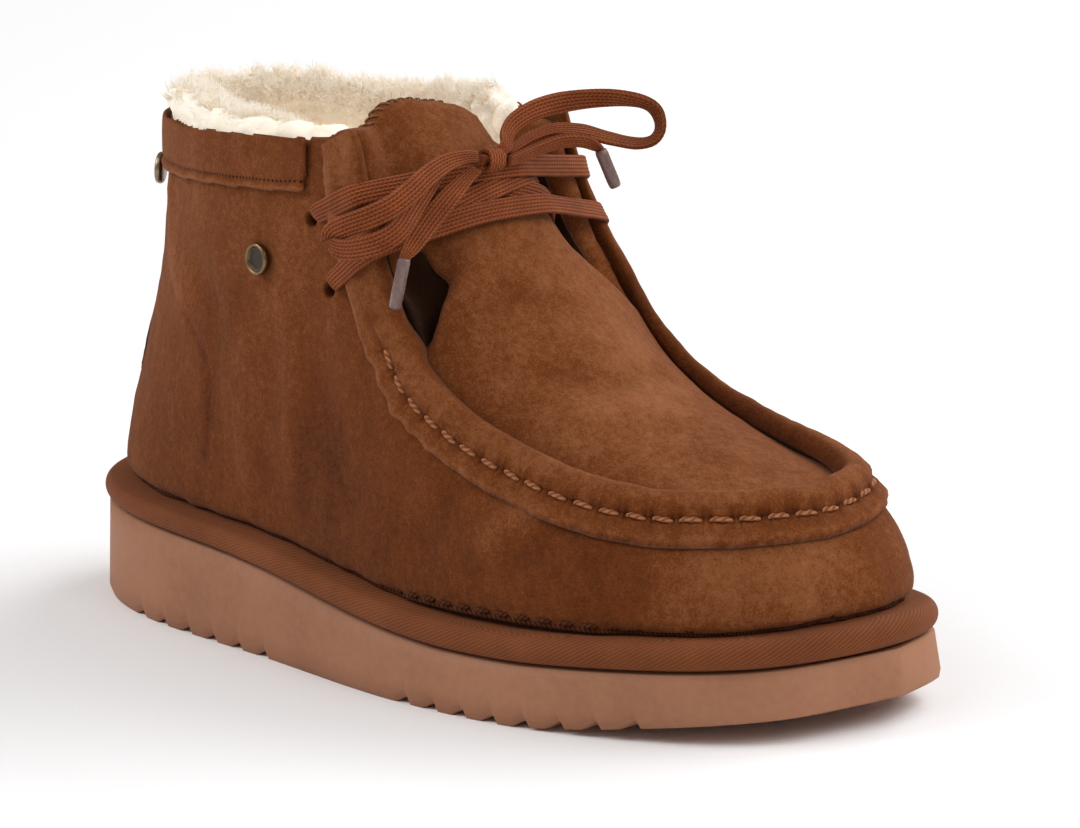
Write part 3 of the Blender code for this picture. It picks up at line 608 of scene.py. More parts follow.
def twill_finish():
    made, tree = new_finish("twill_tape")
    spot = node(tree, "TexCoord")
    cut = node(tree, "SeparateXYZ", {"Vector": spot.outputs["UV"]})
    slant = sums(
        tree, "MULTIPLY_ADD", cut.outputs["Y"], 6400.0, sums(tree, "MULTIPLY", cut.outputs["X"], -3200.0)
    )
    ridge = sums(tree, "MULTIPLY_ADD", sums(tree, "SINE", slant), 0.5, 0.5)
    across = sums(tree, "MULTIPLY", cut.outputs["Y"], 5200.0)
    weft = sums(tree, "SINE", sums(tree, "MULTIPLY_ADD", cut.outputs["X"], 9000.0, across))
    height = sums(tree, "MULTIPLY_ADD", weft, 0.18, ridge)
    fuzz = speckle(tree, spot.outputs["Object"], 2200.0)
    cloud = speckle(tree, spot.outputs["Object"], 40.0)
    # The twill's ridges are painted lighter and the hollows between them darker, a painted shade over its
    # relief.
    shade = sums(tree, "MULTIPLY_ADD", height, 0.22, sums(tree, "MULTIPLY_ADD", cloud, 0.4, 0.08))
    shade = sums(tree, "MULTIPLY_ADD", fuzz, 0.25, shade)
    colour = colours(
        tree, shade, (0.15, 0.062, 0.0155, 0.0045), (0.5, 0.165, 0.0470, 0.0140), (0.9, 0.27, 0.090, 0.032)
    )
    bump = bumps(tree, height, 0.5, 0.00013)
    coat(tree, {"Base Color": colour, "Normal": bump, "Roughness": 0.82, "Specular IOR Level": 0.15})
    coat(tree, {"Sheen Weight": 0.06, "Sheen Roughness": 0.5, "Sheen Tint": (1.0, 0.6, 0.4, 1.0)})
    return made


BEAD_RADIUS = 0.00375
bead_mesh = solid_of("midsole")
bead_mesh.verts.index_update()
sharpen(bead_mesh, 1.0, 0.4)
bead_line, bead_run = widest_line(bead_mesh)
bead_places = {}
for vertex in bead_mesh.verts:
    turn = math.atan2(vertex.normal.z, vertex.normal.xy.length)
    bead_places[vertex.index] = length_at(vertex.co, bead_line, bead_run), BEAD_RADIUS * turn
bead_map = bead_mesh.loops.layers.uv.verify()
for face in bead_mesh.faces:
    furthest = max(bead_places[loop.vert.index][0] for loop in face.loops)
    for loop in face.loops:
        length, up = bead_places[loop.vert.index]
        length += bead_run[-1] if furthest - length > bead_run[-1] / 2 else 0.0
        loop[bead_map].uv = (length, up)
bead = add_piece("twill_bead", bead_mesh, twill_finish(), "binding_fabric", "midsole")
subdivide(bead, 2)


# The upper: chestnut suede with its nap outwards, sewn up from the quarters, the apron and the tongue
# that goes on from it, and moulded round a last. Holes for the lace are punched through its edges.
def suede_finish(
    name, dark=(0.048, 0.0100, 0.0018), main=(0.145, 0.0390, 0.0082), light=(0.29, 0.110, 0.044)
):
    made, tree = new_finish(name)
    spot = node(tree, "TexCoord").outputs["Object"]
    drawn_out = node(
        tree, "Mapping", {"Vector": spot, "Scale": (1.0, 1.0, 0.5), "Rotation": (0.0, 0.35, 0.0)}
    )
    drawn_out = drawn_out.outputs["Vector"]
    patches = speckle(tree, drawn_out, 34.0, 4.0, 0.6)
    strokes = speckle(tree, drawn_out, 150.0, 4.0, 0.6)
    nap = speckle(tree, spot, 520.0, 4.0, 0.7)
    grain = speckle(tree, spot, 2100.0, 3.0, 0.7)
    shade = sums(tree, "MULTIPLY_ADD", patches, 0.45, sums(tree, "MULTIPLY", strokes, 0.30))
    shade = sums(tree, "MULTIPLY_ADD", nap, 0.55, shade)
    shade = sums(tree, "MULTIPLY_ADD", grain, 0.7, sums(tree, "SUBTRACT", shade, 0.55))
    # The wear and the painted light and shade laid on each vertex lighten or darken the nap.
    shade = sums(tree, "ADD", shade, node(tree, "Attribute", attribute_name="wear_and_painted_light").outputs["Fac"])
    colour = colours(tree, shade, (0.08, *dark), (0.5, *main), (0.92, *light))
    height = sums(tree, "MULTIPLY_ADD", grain, 0.6, nap)
    bump = bumps(tree, height, 0.6, 0.0004)
    coat(tree, {"Base Color": colour, "Normal": bump, "Roughness": 0.95, "Specular IOR Level": 0.06})
    coat(tree, {"Sheen Weight": 0.12, "Sheen Roughness": 0.5, "Sheen Tint": (1.0, 0.66, 0.50, 1.0)})
    return made


def outer_side(start):
    """The faces that are reached from one face without going over a sharp edge."""
    reached, waiting = {start}, [start]
    while waiting:
        for edge in waiting.pop().edges:
            if len(edge.link_faces) == 2 and edge.calc_face_angle() < 0.85:
                for face in edge.link_faces:
                    if face not in reached:
                        reached.add(face)
                        waiting.append(face)
    return reached


def even_skin(mesh, size, passes):
    """An even skin of small quads over a mesh, smoothed until no facet is left."""
    data = bpy.data.meshes.new("rough")
    mesh.to_mesh(data)
    mesh.free()
    rough = bpy.data.objects.new("rough", data)
    bpy.context.scene.collection.objects.link(rough)
    skin = rough.modifiers.new("skin", "REMESH")
    skin.mode = "VOXEL"
    skin.voxel_size = size
    made = bmesh.new()
    made.from_object(rough, bpy.context.evaluated_depsgraph_get())
    bpy.data.objects.remove(rough)
    bpy.data.meshes.remove(data)
    for _ in range(passes):
        bmesh.ops.smooth_vert(
            made, verts=made.verts, factor=0.5, use_axis_x=True, use_axis_y=True, use_axis_z=True
        )
    made.normal_update()
    return made


def eased(value):
    """From 0 to 1, setting off and arriving slowly."""
    value = min(max(value, 0.0), 1.0)
    return value * value * (3 - 2 * value)


def bell(offset, width):
    """1 at no offset, falling away smoothly over a width on either side."""
    return math.exp(-((offset / width) ** 2))


def nearness(place, line, reach):
    """From 0 to 1: how near a place is to a line of points, 1 on the line and 0 well outside its reach."""
    nearest = reach * 3
    for a, b in zip(line, line[1:]):
        along = b - a
        share = min(max((place - a).dot(along) / along.length_squared, 0.0), 1.0)
        nearest = min(nearest, (place - a - along * share).length)
    return bell(nearest, reach) if nearest < reach * 3 else 0.0


def on_wall(side, *spots):
    """Places on the upper's outer face, found from how far along and how high each is on one side."""
    found = []
    for along, up in spots:
        start = Vector((along, side * 0.2, up))
        found.append(wall_tree.ray_cast(start, Vector((0.0, -side, 0.0)))[0])
    return found


walls = solid_of("upper", "tongue")
front = max(walls.faces, key=lambda face: face.calc_center_median().x)
crest = max(walls.verts, key=lambda vertex: vertex.co.z)
on_tongue, waiting = {crest}, [crest]
while waiting:
    for edge in waiting.pop().link_edges:
        for vertex in edge.verts:
            if vertex not in on_tongue:
                on_tongue.add(vertex)
                waiting.append(vertex)
TONGUE_STAYS, TONGUE_EASE, TONGUE_SHIFT = 0.136, 0.024, Vector((0.0018, 0.0, -0.0016))
for vertex in on_tongue:
    share = min(max((TONGUE_STAYS - vertex.co.z) / TONGUE_EASE, 0.0), 1.0)
    vertex.co += TONGUE_SHIFT * share
walls.normal_update()
tongue_front = max(
    (face for face in walls.faces if face.verts[0] in on_tongue),
    key=lambda face: face.normal.dot(Vector((0.7, 0.0, 0.7))) * face.calc_area(),
)
outside = outer_side(front) | outer_side(tongue_front)
depths = BVHTree.FromBMesh(walls)
for face in walls.faces:
    middle = face.calc_center_median()
    depth = depths.ray_cast(middle - face.normal * 1e-4, -face.normal)[3]
    rim = depth is None or depth > 0.014
    if face in outside:
        face.material_index = 0
    elif face.verts[0] in on_tongue and face.normal.z < -0.8:
        face.material_index = 0
    elif face.verts[0] not in on_tongue and middle.x > -0.012 and middle.z > 0.06:
        face.material_index = 0
    elif rim and not (face.normal.z > 0.6 and middle.x < -0.015 and face.verts[0] not in on_tongue):
        face.material_index = 0
    else:
        face.material_index = 1
kinds = [face.material_index for face in walls.faces]
wall_tree = BVHTree.FromBMesh(walls)
SKIN_QUAD, SKIN_PASSES = 0.0015, 14
skin = even_skin(walls, SKIN_QUAD, SKIN_PASSES)
FAR_STRIP_IN, FAR_STRIP_TOP = 0.012, 0.130
for vertex in skin.verts:
    if vertex.co.y > FAR_STRIP_IN and vertex.co.z > FAR_STRIP_TOP:
        vertex.co.z -= (vertex.co.z - FAR_STRIP_TOP) * 0.5 * eased((vertex.co.x + 0.016) / 0.010)
for face in skin.faces:
    _, _, index, _ = wall_tree.find_nearest(face.calc_center_median())
    face.material_index = kinds[index]
for _ in range(3):
    strays = []
    for face in skin.faces:
        beside = [
            other.material_index for edge in face.edges for other in edge.link_faces if other is not face
        ]
        if sum(kind != face.material_index for kind in beside) > 2:
            strays.append(face)
    for face in strays:
        face.material_index = 1 - face.material_index
for face in skin.faces:
    middle = face.calc_center_median()
    if face.material_index == 1 and middle.x > 0.006 and face.normal.x > -0.3:
        face.material_index = 0
# Soft folds and creases: how far each stands out or in, its width, how much lighter or darker it is painted
# (a painted highlight on a ridge, painted shade in a crease), and its line.
FOLDS = (
    (
        -0.0004, 0.0009, -0.16,
        on_wall(-1, (-0.088, 0.090), (-0.074, 0.083), (-0.066, 0.076), (-0.063, 0.068), (-0.063, 0.049)),
    ),
    (-0.0009, 0.0050, -0.05, on_wall(-1, (-0.071, 0.099), (-0.061, 0.090), (-0.059, 0.060))),
    (0.0011, 0.0050, 0.12, on_wall(-1, (-0.093, 0.115), (-0.090, 0.102), (-0.080, 0.089))),
    (0.0007, 0.0060, 0.08, places((-0.0450, -0.0355, 0.0800), (-0.0430, -0.0370, 0.0500))),
    (
        -0.0007, 0.0080, -0.05,
        places((-0.0180, -0.0375, 0.0920), (-0.0100, -0.0400, 0.0680), (0.0000, -0.0420, 0.0480)),
    ),
    (0.0008, 0.0050, 0.12, places((-0.0250, -0.0370, 0.0840), (-0.0240, -0.0385, 0.0500))),
    (0.0010, 0.0040, 0.16, on_wall(-1, (0.054, 0.045), (0.064, 0.054))),
    (-0.0008, 0.0045, -0.12, places((0.0660, -0.0415, 0.0420), (0.0750, -0.0340, 0.0530))),
    (-0.0007, 0.0060, -0.10, places((0.0330, -0.0450, 0.0420), (0.0420, -0.0430, 0.0560))),
    (
        -0.0008, 0.0045, -0.10,
        places((0.0500, -0.0160, 0.0820), (0.0590, 0.0020, 0.0790), (0.0570, 0.0170, 0.0780)),
    ),
    (0.0007, 0.0050, 0.10, places((0.0620, -0.0140, 0.0740), (0.0700, 0.0050, 0.0725))),
    (-0.0006, 0.0050, -0.08, places((0.0330, -0.0120, 0.0990), (0.0400, 0.0060, 0.0950))),
    (-0.0007, 0.0055, -0.10, places((-0.0100, 0.0390, 0.0920), (-0.0050, 0.0410, 0.0560))),
    (0.0008, 0.0060, 0.10, places((-0.0500, 0.0330, 0.1050), (-0.0450, 0.0360, 0.0600))),
    (
        -0.0004, 0.0009, -0.16,
        places(
            (-0.0930, 0.0150, 0.0930), (-0.0760, 0.0255, 0.0830), (-0.0690, 0.0300, 0.0700),
            (-0.0670, 0.0330, 0.0489),
        ),
    ),
    (-0.0007, 0.0050, -0.10, places((0.0580, 0.0420, 0.0430), (0.0660, 0.0380, 0.0560))),
)
# Lighter and darker patches of the nap: the apron, the throat and the toe front painted lighter as painted
# light, the low outer side painted darker as painted shade, and a few patches of uneven tone: how much
# lighter or darker, how far that reaches, and where.
TONE_AND_PAINTED_LIGHT = (
    (0.20, 0.045, Vector((0.0550, 0.0000, 0.0900))),
    (0.16, 0.030, Vector((0.0100, 0.0000, 0.1150))),
    (0.22, 0.030, Vector((0.1300, -0.0080, 0.0500))),
    (-0.12, 0.030, Vector((-0.0050, -0.0420, 0.0450))),
    (-0.12, 0.030, Vector((0.0500, -0.0420, 0.0360))),
    (-0.06, 0.022, Vector((0.0000, -0.0420, 0.0600))),
    (-0.04, 0.016, Vector((-0.0250, -0.0385, 0.0520))),
    (0.08, 0.020, Vector((-0.1000, -0.0200, 0.0850))),
    (0.06, 0.016, Vector((-0.0500, -0.0360, 0.1100))),
    (-0.07, 0.018, Vector((-0.0650, -0.0370, 0.0450))),
    (0.07, 0.014, Vector((0.0600, -0.0400, 0.0500))),
    (-0.08, 0.014, Vector((0.0480, -0.0060, 0.0850))),
    (0.07, 0.012, Vector((0.0620, 0.0120, 0.0760))),
    (0.06, 0.020, Vector((0.1150, -0.0200, 0.0420))),
    (-0.06, 0.016, Vector((0.0880, -0.0300, 0.0440))),
    (-0.06, 0.014, Vector((0.0300, -0.0220, 0.0900))),
)

lining_mesh = skin.copy()
bmesh.ops.delete(skin, geom=[face for face in skin.faces if face.material_index == 1], context="FACES")
bmesh.ops.delete(
    lining_mesh, geom=[face for face in lining_mesh.faces if face.material_index == 0], context="FACES"
)
skin.normal_update()

# Holes for the lace: a finer skin round each one, then a pit the size of the punch, painted dark as painted
# shade.
HOLE_DEPTH, HOLE_REACH = 0.006, 0.006
HOLE_RADIUS, HOLE_EDGE = 0.0015, 0.00018
holes = [eyelet + Vector((-0.0012, 0.0, -0.0008)) for eyelet in eyelets.values()]
for hole in holes:
    for _ in range(2):
        near = [edge for edge in skin.edges if (edge.verts[0].co - hole).length < 0.0042]
        bmesh.ops.subdivide_edges(skin, edges=near, cuts=1, use_grid_fill=True)
skin.normal_update()
wear_and_painted_light = skin.verts.layers.float.new("wear_and_painted_light")
moves = []
for vertex in skin.verts:
    place = vertex.co
    out = 0.0004 * noise.fractal(place * 38.0, 0.7, 2.0, 3) + 0.00012 * noise.noise(place * 260.0)
    shade = 0.0
    # Each fold is painted lighter or darker along its line, as painted highlight and painted shade.
    for stand, reach, tint, line in FOLDS:
        if (line[0] - place).length < (line[0] - line[-1]).length + reach * 3:
            share = nearness(place, line, reach)
            out += stand * share
            shade += tint * share
    for tint, reach, middle in TONE_AND_PAINTED_LIGHT:
        shade += tint * bell((place - middle).length, reach)
    for hole in holes:
        distance = (place - hole).length
        if distance < HOLE_REACH:
            out -= HOLE_DEPTH / (1 + math.exp((distance - HOLE_RADIUS) / HOLE_EDGE))
            # The pit is painted dark, a painted shade.
            shade -= 0.8 * math.exp(-((distance / 0.0018) ** 4))
    vertex[wear_and_painted_light] = shade
    moves.append((vertex, vertex.normal * out))
for vertex, move in moves:
    vertex.co += move
suede = suede_finish("chestnut_suede")
upper = add_piece("suede_upper", skin, suede, "suede", "upper", "tongue", close=False)
backing = upper.modifiers.new("backing", "SOLIDIFY")
backing.thickness = 0.0014
backing.offset = -1.0


# The gussets: a thin fold of leather on each side that joins the tongue to the throat's edge,
# and sags back and down between the two. It is coloured near black, a painted shade for the dark throat.
GUSSETS = (
    (
        ((0.0235, -0.0325, 0.0850), (0.0165, -0.0330, 0.0960), (0.0120, -0.0332, 0.1040),
         (0.0080, -0.0335, 0.1120), (0.0045, -0.0332, 0.1200), (0.0020, -0.0330, 0.1300)),
        ((0.0290, -0.0215, 0.0860), (0.0230, -0.0190, 0.0980), (0.0150, -0.0205, 0.1050),
         (0.0090, -0.0235, 0.1130), (0.0045, -0.0240, 0.1200), (0.0000, -0.0243, 0.1300)),
    ),
    (
        ((0.0250, 0.0310, 0.0850), (0.0190, 0.0310, 0.0940), (0.0145, 0.0290, 0.1040),
         (0.0100, 0.0268, 0.1120), (0.0070, 0.0262, 0.1200), (0.0035, 0.0258, 0.1300)),
        ((0.0290, 0.0215, 0.0880), (0.0200, 0.0215, 0.0980), (0.0125, 0.0225, 0.1050),
         (0.0065, 0.0222, 0.1130), (0.0015, 0.0215, 0.1200), (-0.0035, 0.0200, 0.1300)),
    ),
)
gussets = bmesh.new()
for wall_side, tongue_side in GUSSETS:
    wall_line = curve_through(places(*wall_side), 0.0015)
    tongue_line = curve_through(places(*tongue_side), 0.0015)
    rows = len(wall_line)
    grid = bmesh.ops.create_grid(gussets, x_segments=8, y_segments=rows - 1)["verts"]
    for index, vertex in enumerate(grid):
        row, column = divmod(index, 9)
        other = tongue_line[min(int(row * len(tongue_line) / rows), len(tongue_line) - 1)]
        share = column / 8
        sag = math.sin(math.pi * share) * 0.0045 + 0.0006 * math.sin(row * 0.5)
        vertex.co = wall_line[row].lerp(other, share) + Vector((-0.75, 0.0, -0.6)) * sag
bmesh.ops.recalc_face_normals(gussets, faces=gussets.faces)
bmesh.ops.solidify(gussets, geom=gussets.faces, thickness=0.0009)
add_piece(
    "tongue_gussets", gussets,
    suede_finish(
        "gusset_painted_shade", (0.008, 0.0026, 0.0010), (0.022, 0.0072, 0.0027), (0.046, 0.0170, 0.0070)
    ),
    "suede",
)


# The moccasin seam: the wall's edge is folded over the apron into a soft roll and sewn through by hand
# with waxed thread, so it puckers at every stitch. At the throat it flattens into a strip on each side.
STITCH_PITCH = 0.0074
STITCH_SHARE = 0.62
STITCH_REACH = 0.0028
STITCH_THICKNESS = 0.0016


def rings_of_roll():
    """The roll's cross sections from one throat end to the other, each from the flange's edge round."""
    mesh = bmesh.new()
    mesh.from_mesh(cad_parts["seam_roll"].data)
    bmesh.ops.remove_doubles(mesh, verts=mesh.verts, dist=2e-6)
    mesh.normal_update()
    ends = [face for face in mesh.faces if face.normal.z > 0.7 and face.calc_center_median().z > 0.133]
    first = [face for face in ends if face.calc_center_median().y < 0]
    layers = [{vertex for face in first for vertex in face.verts}]
    seen = set(layers[0])
    while True:
        following = {edge.other_vert(vertex) for vertex in layers[-1] for edge in vertex.link_edges} - seen
        if not following:
            break
        seen |= following
        layers.append(following)
    rings = []
    for layer in layers:
        walk = [min(layer, key=lambda vertex: vertex.co.z)]
        while len(walk) < len(layer):
            for edge in walk[-1].link_edges:
                other = edge.other_vert(walk[-1])
                inside_end = all(face in ends for face in edge.link_faces)
                if other in layer and other not in walk and not inside_end:
                    walk.append(other)
                    break
            else:
                break
        ring = [vertex.co.copy() for vertex in walk]
        if rings:
            turns = [ring[k:] + ring[:k] for k in range(len(ring))]
            turns += [turn[::-1] for turn in turns]
            ring = min(turns, key=lambda turn: sum((a - b).length for a, b in zip(turn, rings[-1])))
        rings.append(ring)
    mesh.free()
    side = rings[20]
    edge = min(range(12), key=lambda k: side[k].z)
    way = 1 if side[(edge + 3) % 12].z > side[edge - 3].z else -1
    return [[ring[(edge + way * k) % 12] for k in range(12)] for ring in rings]


roll_rings = rings_of_roll()
flange_line = [ring[0] for ring in roll_rings]
apron_line = [ring[7] for ring in roll_rings]
rise_line = [ring[4] - ring[7].lerp(ring[0], 0.44) for ring in roll_rings]
for _ in range(2):
    rise_line = softened(rise_line)


def between(line, position):
    """A smooth curve through a line's points, at a position counted in points."""
    k = min(int(position), len(line) - 2)
    t = position - k
    before, a, b, after = line[max(k - 1, 0)], line[k], line[k + 1], line[min(k + 2, len(line) - 1)]
    bend = before * 2 - a * 5 + b * 4 - after
    return a + ((b - before) * t + bend * t * t + (a * 3 - before - b * 3 + after) * t**3) / 2


steps = 1200
spots = [(len(roll_rings) - 1) * k / steps for k in range(steps + 1)]
seam_line = [between(apron_line, spot).lerp(between(flange_line, spot), STITCH_SHARE) for spot in spots]
run = [0.0]
for a, b in zip(seam_line, seam_line[1:]):
    run.append(run[-1] + (b - a).length)


def spot_at(length):
    """The position on the roll at a length along its seam."""
    for k in range(steps):
        if run[k + 1] >= length:
            return spots[k] + (spots[k + 1] - spots[k]) * (length - run[k]) / (run[k + 1] - run[k])
    return spots[-1]


def rolled(length):
    """How far the strip has turned into a roll: 0 at the throat, 1 round the toe."""
    height = between(apron_line, spot_at(length)).z
    return eased((0.104 - height) / 0.018)


random.seed(11)
sewn, length = [], 0.0
while length < run[-1]:
    sewn.append(length)
    length += STITCH_PITCH * random.uniform(0.93, 1.07)
sewn.append(length)


def stitch_phase(length):
    """Turns counted along the seam, a whole number at the middle of each stitch."""
    k = max(0, min(len(sewn) - 2, int(length / STITCH_PITCH) - 3))
    while k < len(sewn) - 2 and sewn[k + 1] < length:
        k += 1
    return k + (length - sewn[k]) / (sewn[k + 1] - sewn[k])


ROLL_PROFILE = [
    0.0, 0.70, 0.93, 1.02, 1.07, 1.08, 1.05, 0.97, 0.82, 0.62, 0.60, 0.60, 0.54, 0.46, 0.40, 0.30, 0.0
]
ROLL_SHARES = [
    0.0, 0.03, 0.09, 0.17, 0.26, 0.34, 0.42, 0.50, 0.565, 0.61, 0.66, 0.73, 0.81, 0.89, 0.96, 1.0, 1.0
]
STRIP_PROFILE = [
    0.0, 0.62, 0.90, 0.97, 1.0, 1.0, 1.0, 0.99, 0.98, 0.97, 0.96, 0.95, 0.93, 0.89, 0.80, 0.55, 0.0
]


def roll_surface(length, share):
    """A place on the roll: a length along its seam, and a share from the apron over to the flange."""
    spot = spot_at(length)
    apron, flange, rise = (between(line, spot) for line in (apron_line, flange_line, rise_line))
    round_share = rolled(length)
    turn = stitch_phase(length)
    taut = eased((round_share - 0.3) / 0.5)
    pull = math.cos(2 * math.pi * turn) * taut
    k = 0
    while k < len(ROLL_SHARES) - 2 and ROLL_SHARES[k + 1] < share:
        k += 1
    step = ROLL_SHARES[k + 1] - ROLL_SHARES[k]
    t = (share - ROLL_SHARES[k]) / step if step else 0.0
    round_height = ROLL_PROFILE[k] + (ROLL_PROFILE[k + 1] - ROLL_PROFILE[k]) * t
    flat_height = STRIP_PROFILE[k] + (STRIP_PROFILE[k + 1] - STRIP_PROFILE[k]) * t
    height = flat_height + (round_height - flat_height) * round_share
    if 0.0 < share < 1.0:
        near = bell(share - STITCH_SHARE, 0.13)
        height -= 0.11 * pull * near
        hole = abs((turn + 0.5) % 1.0 - 0.5) - 0.36
        height -= 0.16 * taut * bell(hole, 0.09) * bell(share - STITCH_SHARE, 0.10)
        broad = noise.noise(Vector((length * 60.0, share * 2.5, 3.0)))
        fine = noise.noise(Vector((length * 240.0, share * 7.0, 8.0)))
        height += 0.06 * broad + 0.03 * fine
    end = min(length, run[-1] - length)
    flat = 1 - round_share
    if flat > 0 and 0.02 < share < 0.98:
        for ridge, reach in ((0.0085, 0.0010), (0.0115, 0.0009), (0.0195, 0.0016)):
            height += 0.20 * flat * bell(end - ridge - 0.0012 * math.sin(share * 5), reach)
        drift = 3 * noise.noise(Vector((length * 50.0, 1.0, 2.0)))
        height += 0.10 * flat * math.sin(share * 11 + drift) * eased(end / 0.01)
    scallop = 0.03 * -pull * eased((share - 0.75) / 0.25)
    wander = 0.02 * noise.noise(Vector((length * 90.0, 5.0, 1.0))) * eased((share - 0.6) / 0.4)
    return apron.lerp(flange, share + scallop + wander) + rise * height


around = ROLL_SHARES[::-1] + [0.15, 0.4, 0.65, 0.88]
rows = int(run[-1] / 0.0009)
sections, reaches = [], []
for row in range(rows + 1):
    length = run[-1] * row / rows
    spot = spot_at(length)
    top = [roll_surface(length, share) for share in ROLL_SHARES[::-1]]
    apron, flange = between(apron_line, spot), between(flange_line, spot)
    top[0], top[-1] = flange, apron
    sections.append(top + [apron.lerp(flange, share) for share in around[-4:]])
    reaches.append(length)
roll_mesh = bmesh.new()
loft(roll_mesh, sections, reaches)
bmesh.ops.recalc_face_normals(roll_mesh, faces=roll_mesh.faces)
wear_and_painted_light = roll_mesh.verts.layers.float.new("wear_and_painted_light")
roll_map = roll_mesh.loops.layers.uv.active
# The roll's colour: the flat strip lighter and the ridge a little lighter with wear, the stitch groove, the
# stitch holes and the roll's foot by the apron painted darker as painted shade, and the flange's edge a
# painted highlight.
for vertex in roll_mesh.verts:
    flow = vertex.link_loops[0][roll_map].uv
    share = blend_along(around + around[:1], flow.y) if flow.y * len(around) <= 16 else 0.0
    round_share = rolled(flow.x)
    shade = 0.16 * (1 - round_share) + 0.07 * round_share
    shade += 0.08 * round_share * bell(share - 0.36, 0.16)
    shade -= 0.26 * round_share * bell(share - STITCH_SHARE, 0.035)
    hole = abs((stitch_phase(flow.x) + 0.5) % 1.0 - 0.5) - 0.36
    shade -= 0.30 * round_share * bell(hole, 0.10) * bell(share - STITCH_SHARE, 0.14)
    shade += 0.10 * bell(share - 0.97, 0.04)
    shade -= 0.25 * bell(share, 0.05)
    vertex[wear_and_painted_light] = shade
add_piece("seam_roll_suede", roll_mesh, suede, "suede", "seam_roll")


# The seam's stitches: one run of waxed linen thread along the roll, in and out by hand through punched
# holes. Each stitch lies on the suede with its ends pushed in, and no two are quite alike.
def thread_finish(name, dark, main, light):
    made, tree = new_finish(name)
    spot = node(tree, "TexCoord")
    cut = node(tree, "SeparateXYZ", {"Vector": spot.outputs["UV"]})
    turned = sums(tree, "MULTIPLY", cut.outputs["Y"], 12.566)
    twist = sums(tree, "SINE", sums(tree, "MULTIPLY_ADD", cut.outputs["X"], 4200.0, turned))
    fuzz = speckle(tree, spot.outputs["Object"], 3000.0)
    # The twist's crowns are painted lighter and its grooves darker, a painted shade over the thread's
    # relief.
    shade = sums(tree, "MULTIPLY_ADD", twist, 0.22, sums(tree, "MULTIPLY_ADD", fuzz, 0.5, 0.25))
    colour = colours(tree, shade, (0.15, *dark), (0.5, *main), (0.85, *light))
    bump = bumps(tree, sums(tree, "MULTIPLY_ADD", fuzz, 0.5, twist), 0.6, 0.00015)
    coat(tree, {"Base Color": colour, "Normal": bump, "Roughness": 0.85, "Specular IOR Level": 0.12})
    return made


def add_stitch(mesh, line, up, thickness):
    """One stitch of thread along a short line, flat against what it is sewn to, its ends pushed in."""
    rings, reaches = [], []
    for k, place in enumerate(line):
        way = (line[min(k + 1, len(line) - 1)] - line[max(k - 1, 0)]).normalized()
        side = up.cross(way).normalized()
        share = k / (len(line) - 1)
        thick = thickness * (0.55 + 0.45 * math.sin(math.pi * min(max(share, 0.04), 0.96)) ** 0.5)
        ring = []
        for corner in range(6):
            turn = 2 * math.pi * corner / 6
            ring.append(
                place + (side * math.cos(turn) + way.cross(side) * math.sin(turn) * 0.8) * thick / 2
            )
        rings.append(ring)
        reaches.append(share * 0.005)
    loft(mesh, rings, reaches)


stitches = bmesh.new()
for k in range(1, len(sewn) - 2):
    middle = sewn[k]
    if rolled(middle) < 0.72 or middle > run[-1] - 0.004:
        continue
    reach = STITCH_REACH * random.uniform(0.9, 1.12)
    slant = 0.016 + random.uniform(-0.008, 0.008)
    line = []
    for share in (-1.0, -0.8, -0.4, 0.0, 0.4, 0.8, 1.0):
        spot = spot_at(middle + share * reach)
        rise = between(rise_line, spot)
        place = roll_surface(middle + share * reach, STITCH_SHARE + slant * share)
        lift = 0.00045 if abs(share) < 0.7 else 0.0001 if abs(share) < 0.9 else -0.0009
        line.append(place + rise.normalized() * lift)
    add_stitch(stitches, line, rise.normalized(), STITCH_THICKNESS)
add_piece(
    "seam_stitches", stitches,
    thread_finish("waxed_thread", (0.110, 0.036, 0.0130), (0.30, 0.108, 0.044), (0.47, 0.205, 0.100)),
    "suede",
)


# The collar band: a strip of the suede folded under at its lower edge and sewn flat along the top of
# the upper with small close stitches, just above the fold.
def bearings(mesh, centre, count):
    """The lowest place of a mesh in each direction from a centre, and how far round that direction lies."""
    lowest = [None] * count
    for vertex in mesh.verts:
        away = vertex.co - centre
        k = int((math.atan2(away.y, away.x) / (2 * math.pi) % 1.0) * count) % count
        if lowest[k] is None or vertex.co.z < lowest[k].z:
            lowest[k] = vertex.co.copy()
    known = [k for k in range(count) if lowest[k]]
    filled = []
    for k in range(count):
        nearest = min(known, key=lambda other: min((k - other) % count, (other - k) % count))
        filled.append(lowest[k] or lowest[nearest])
    for _ in range(3):
        filled = [(filled[k - 1] + filled[k] * 2 + filled[(k + 1) % count]) / 4 for k in range(count)]
    lengths = [0.0]
    for k in range(count):
        lengths.append(lengths[-1] + (filled[(k + 1) % count] - filled[k]).length)
    return filled, lengths


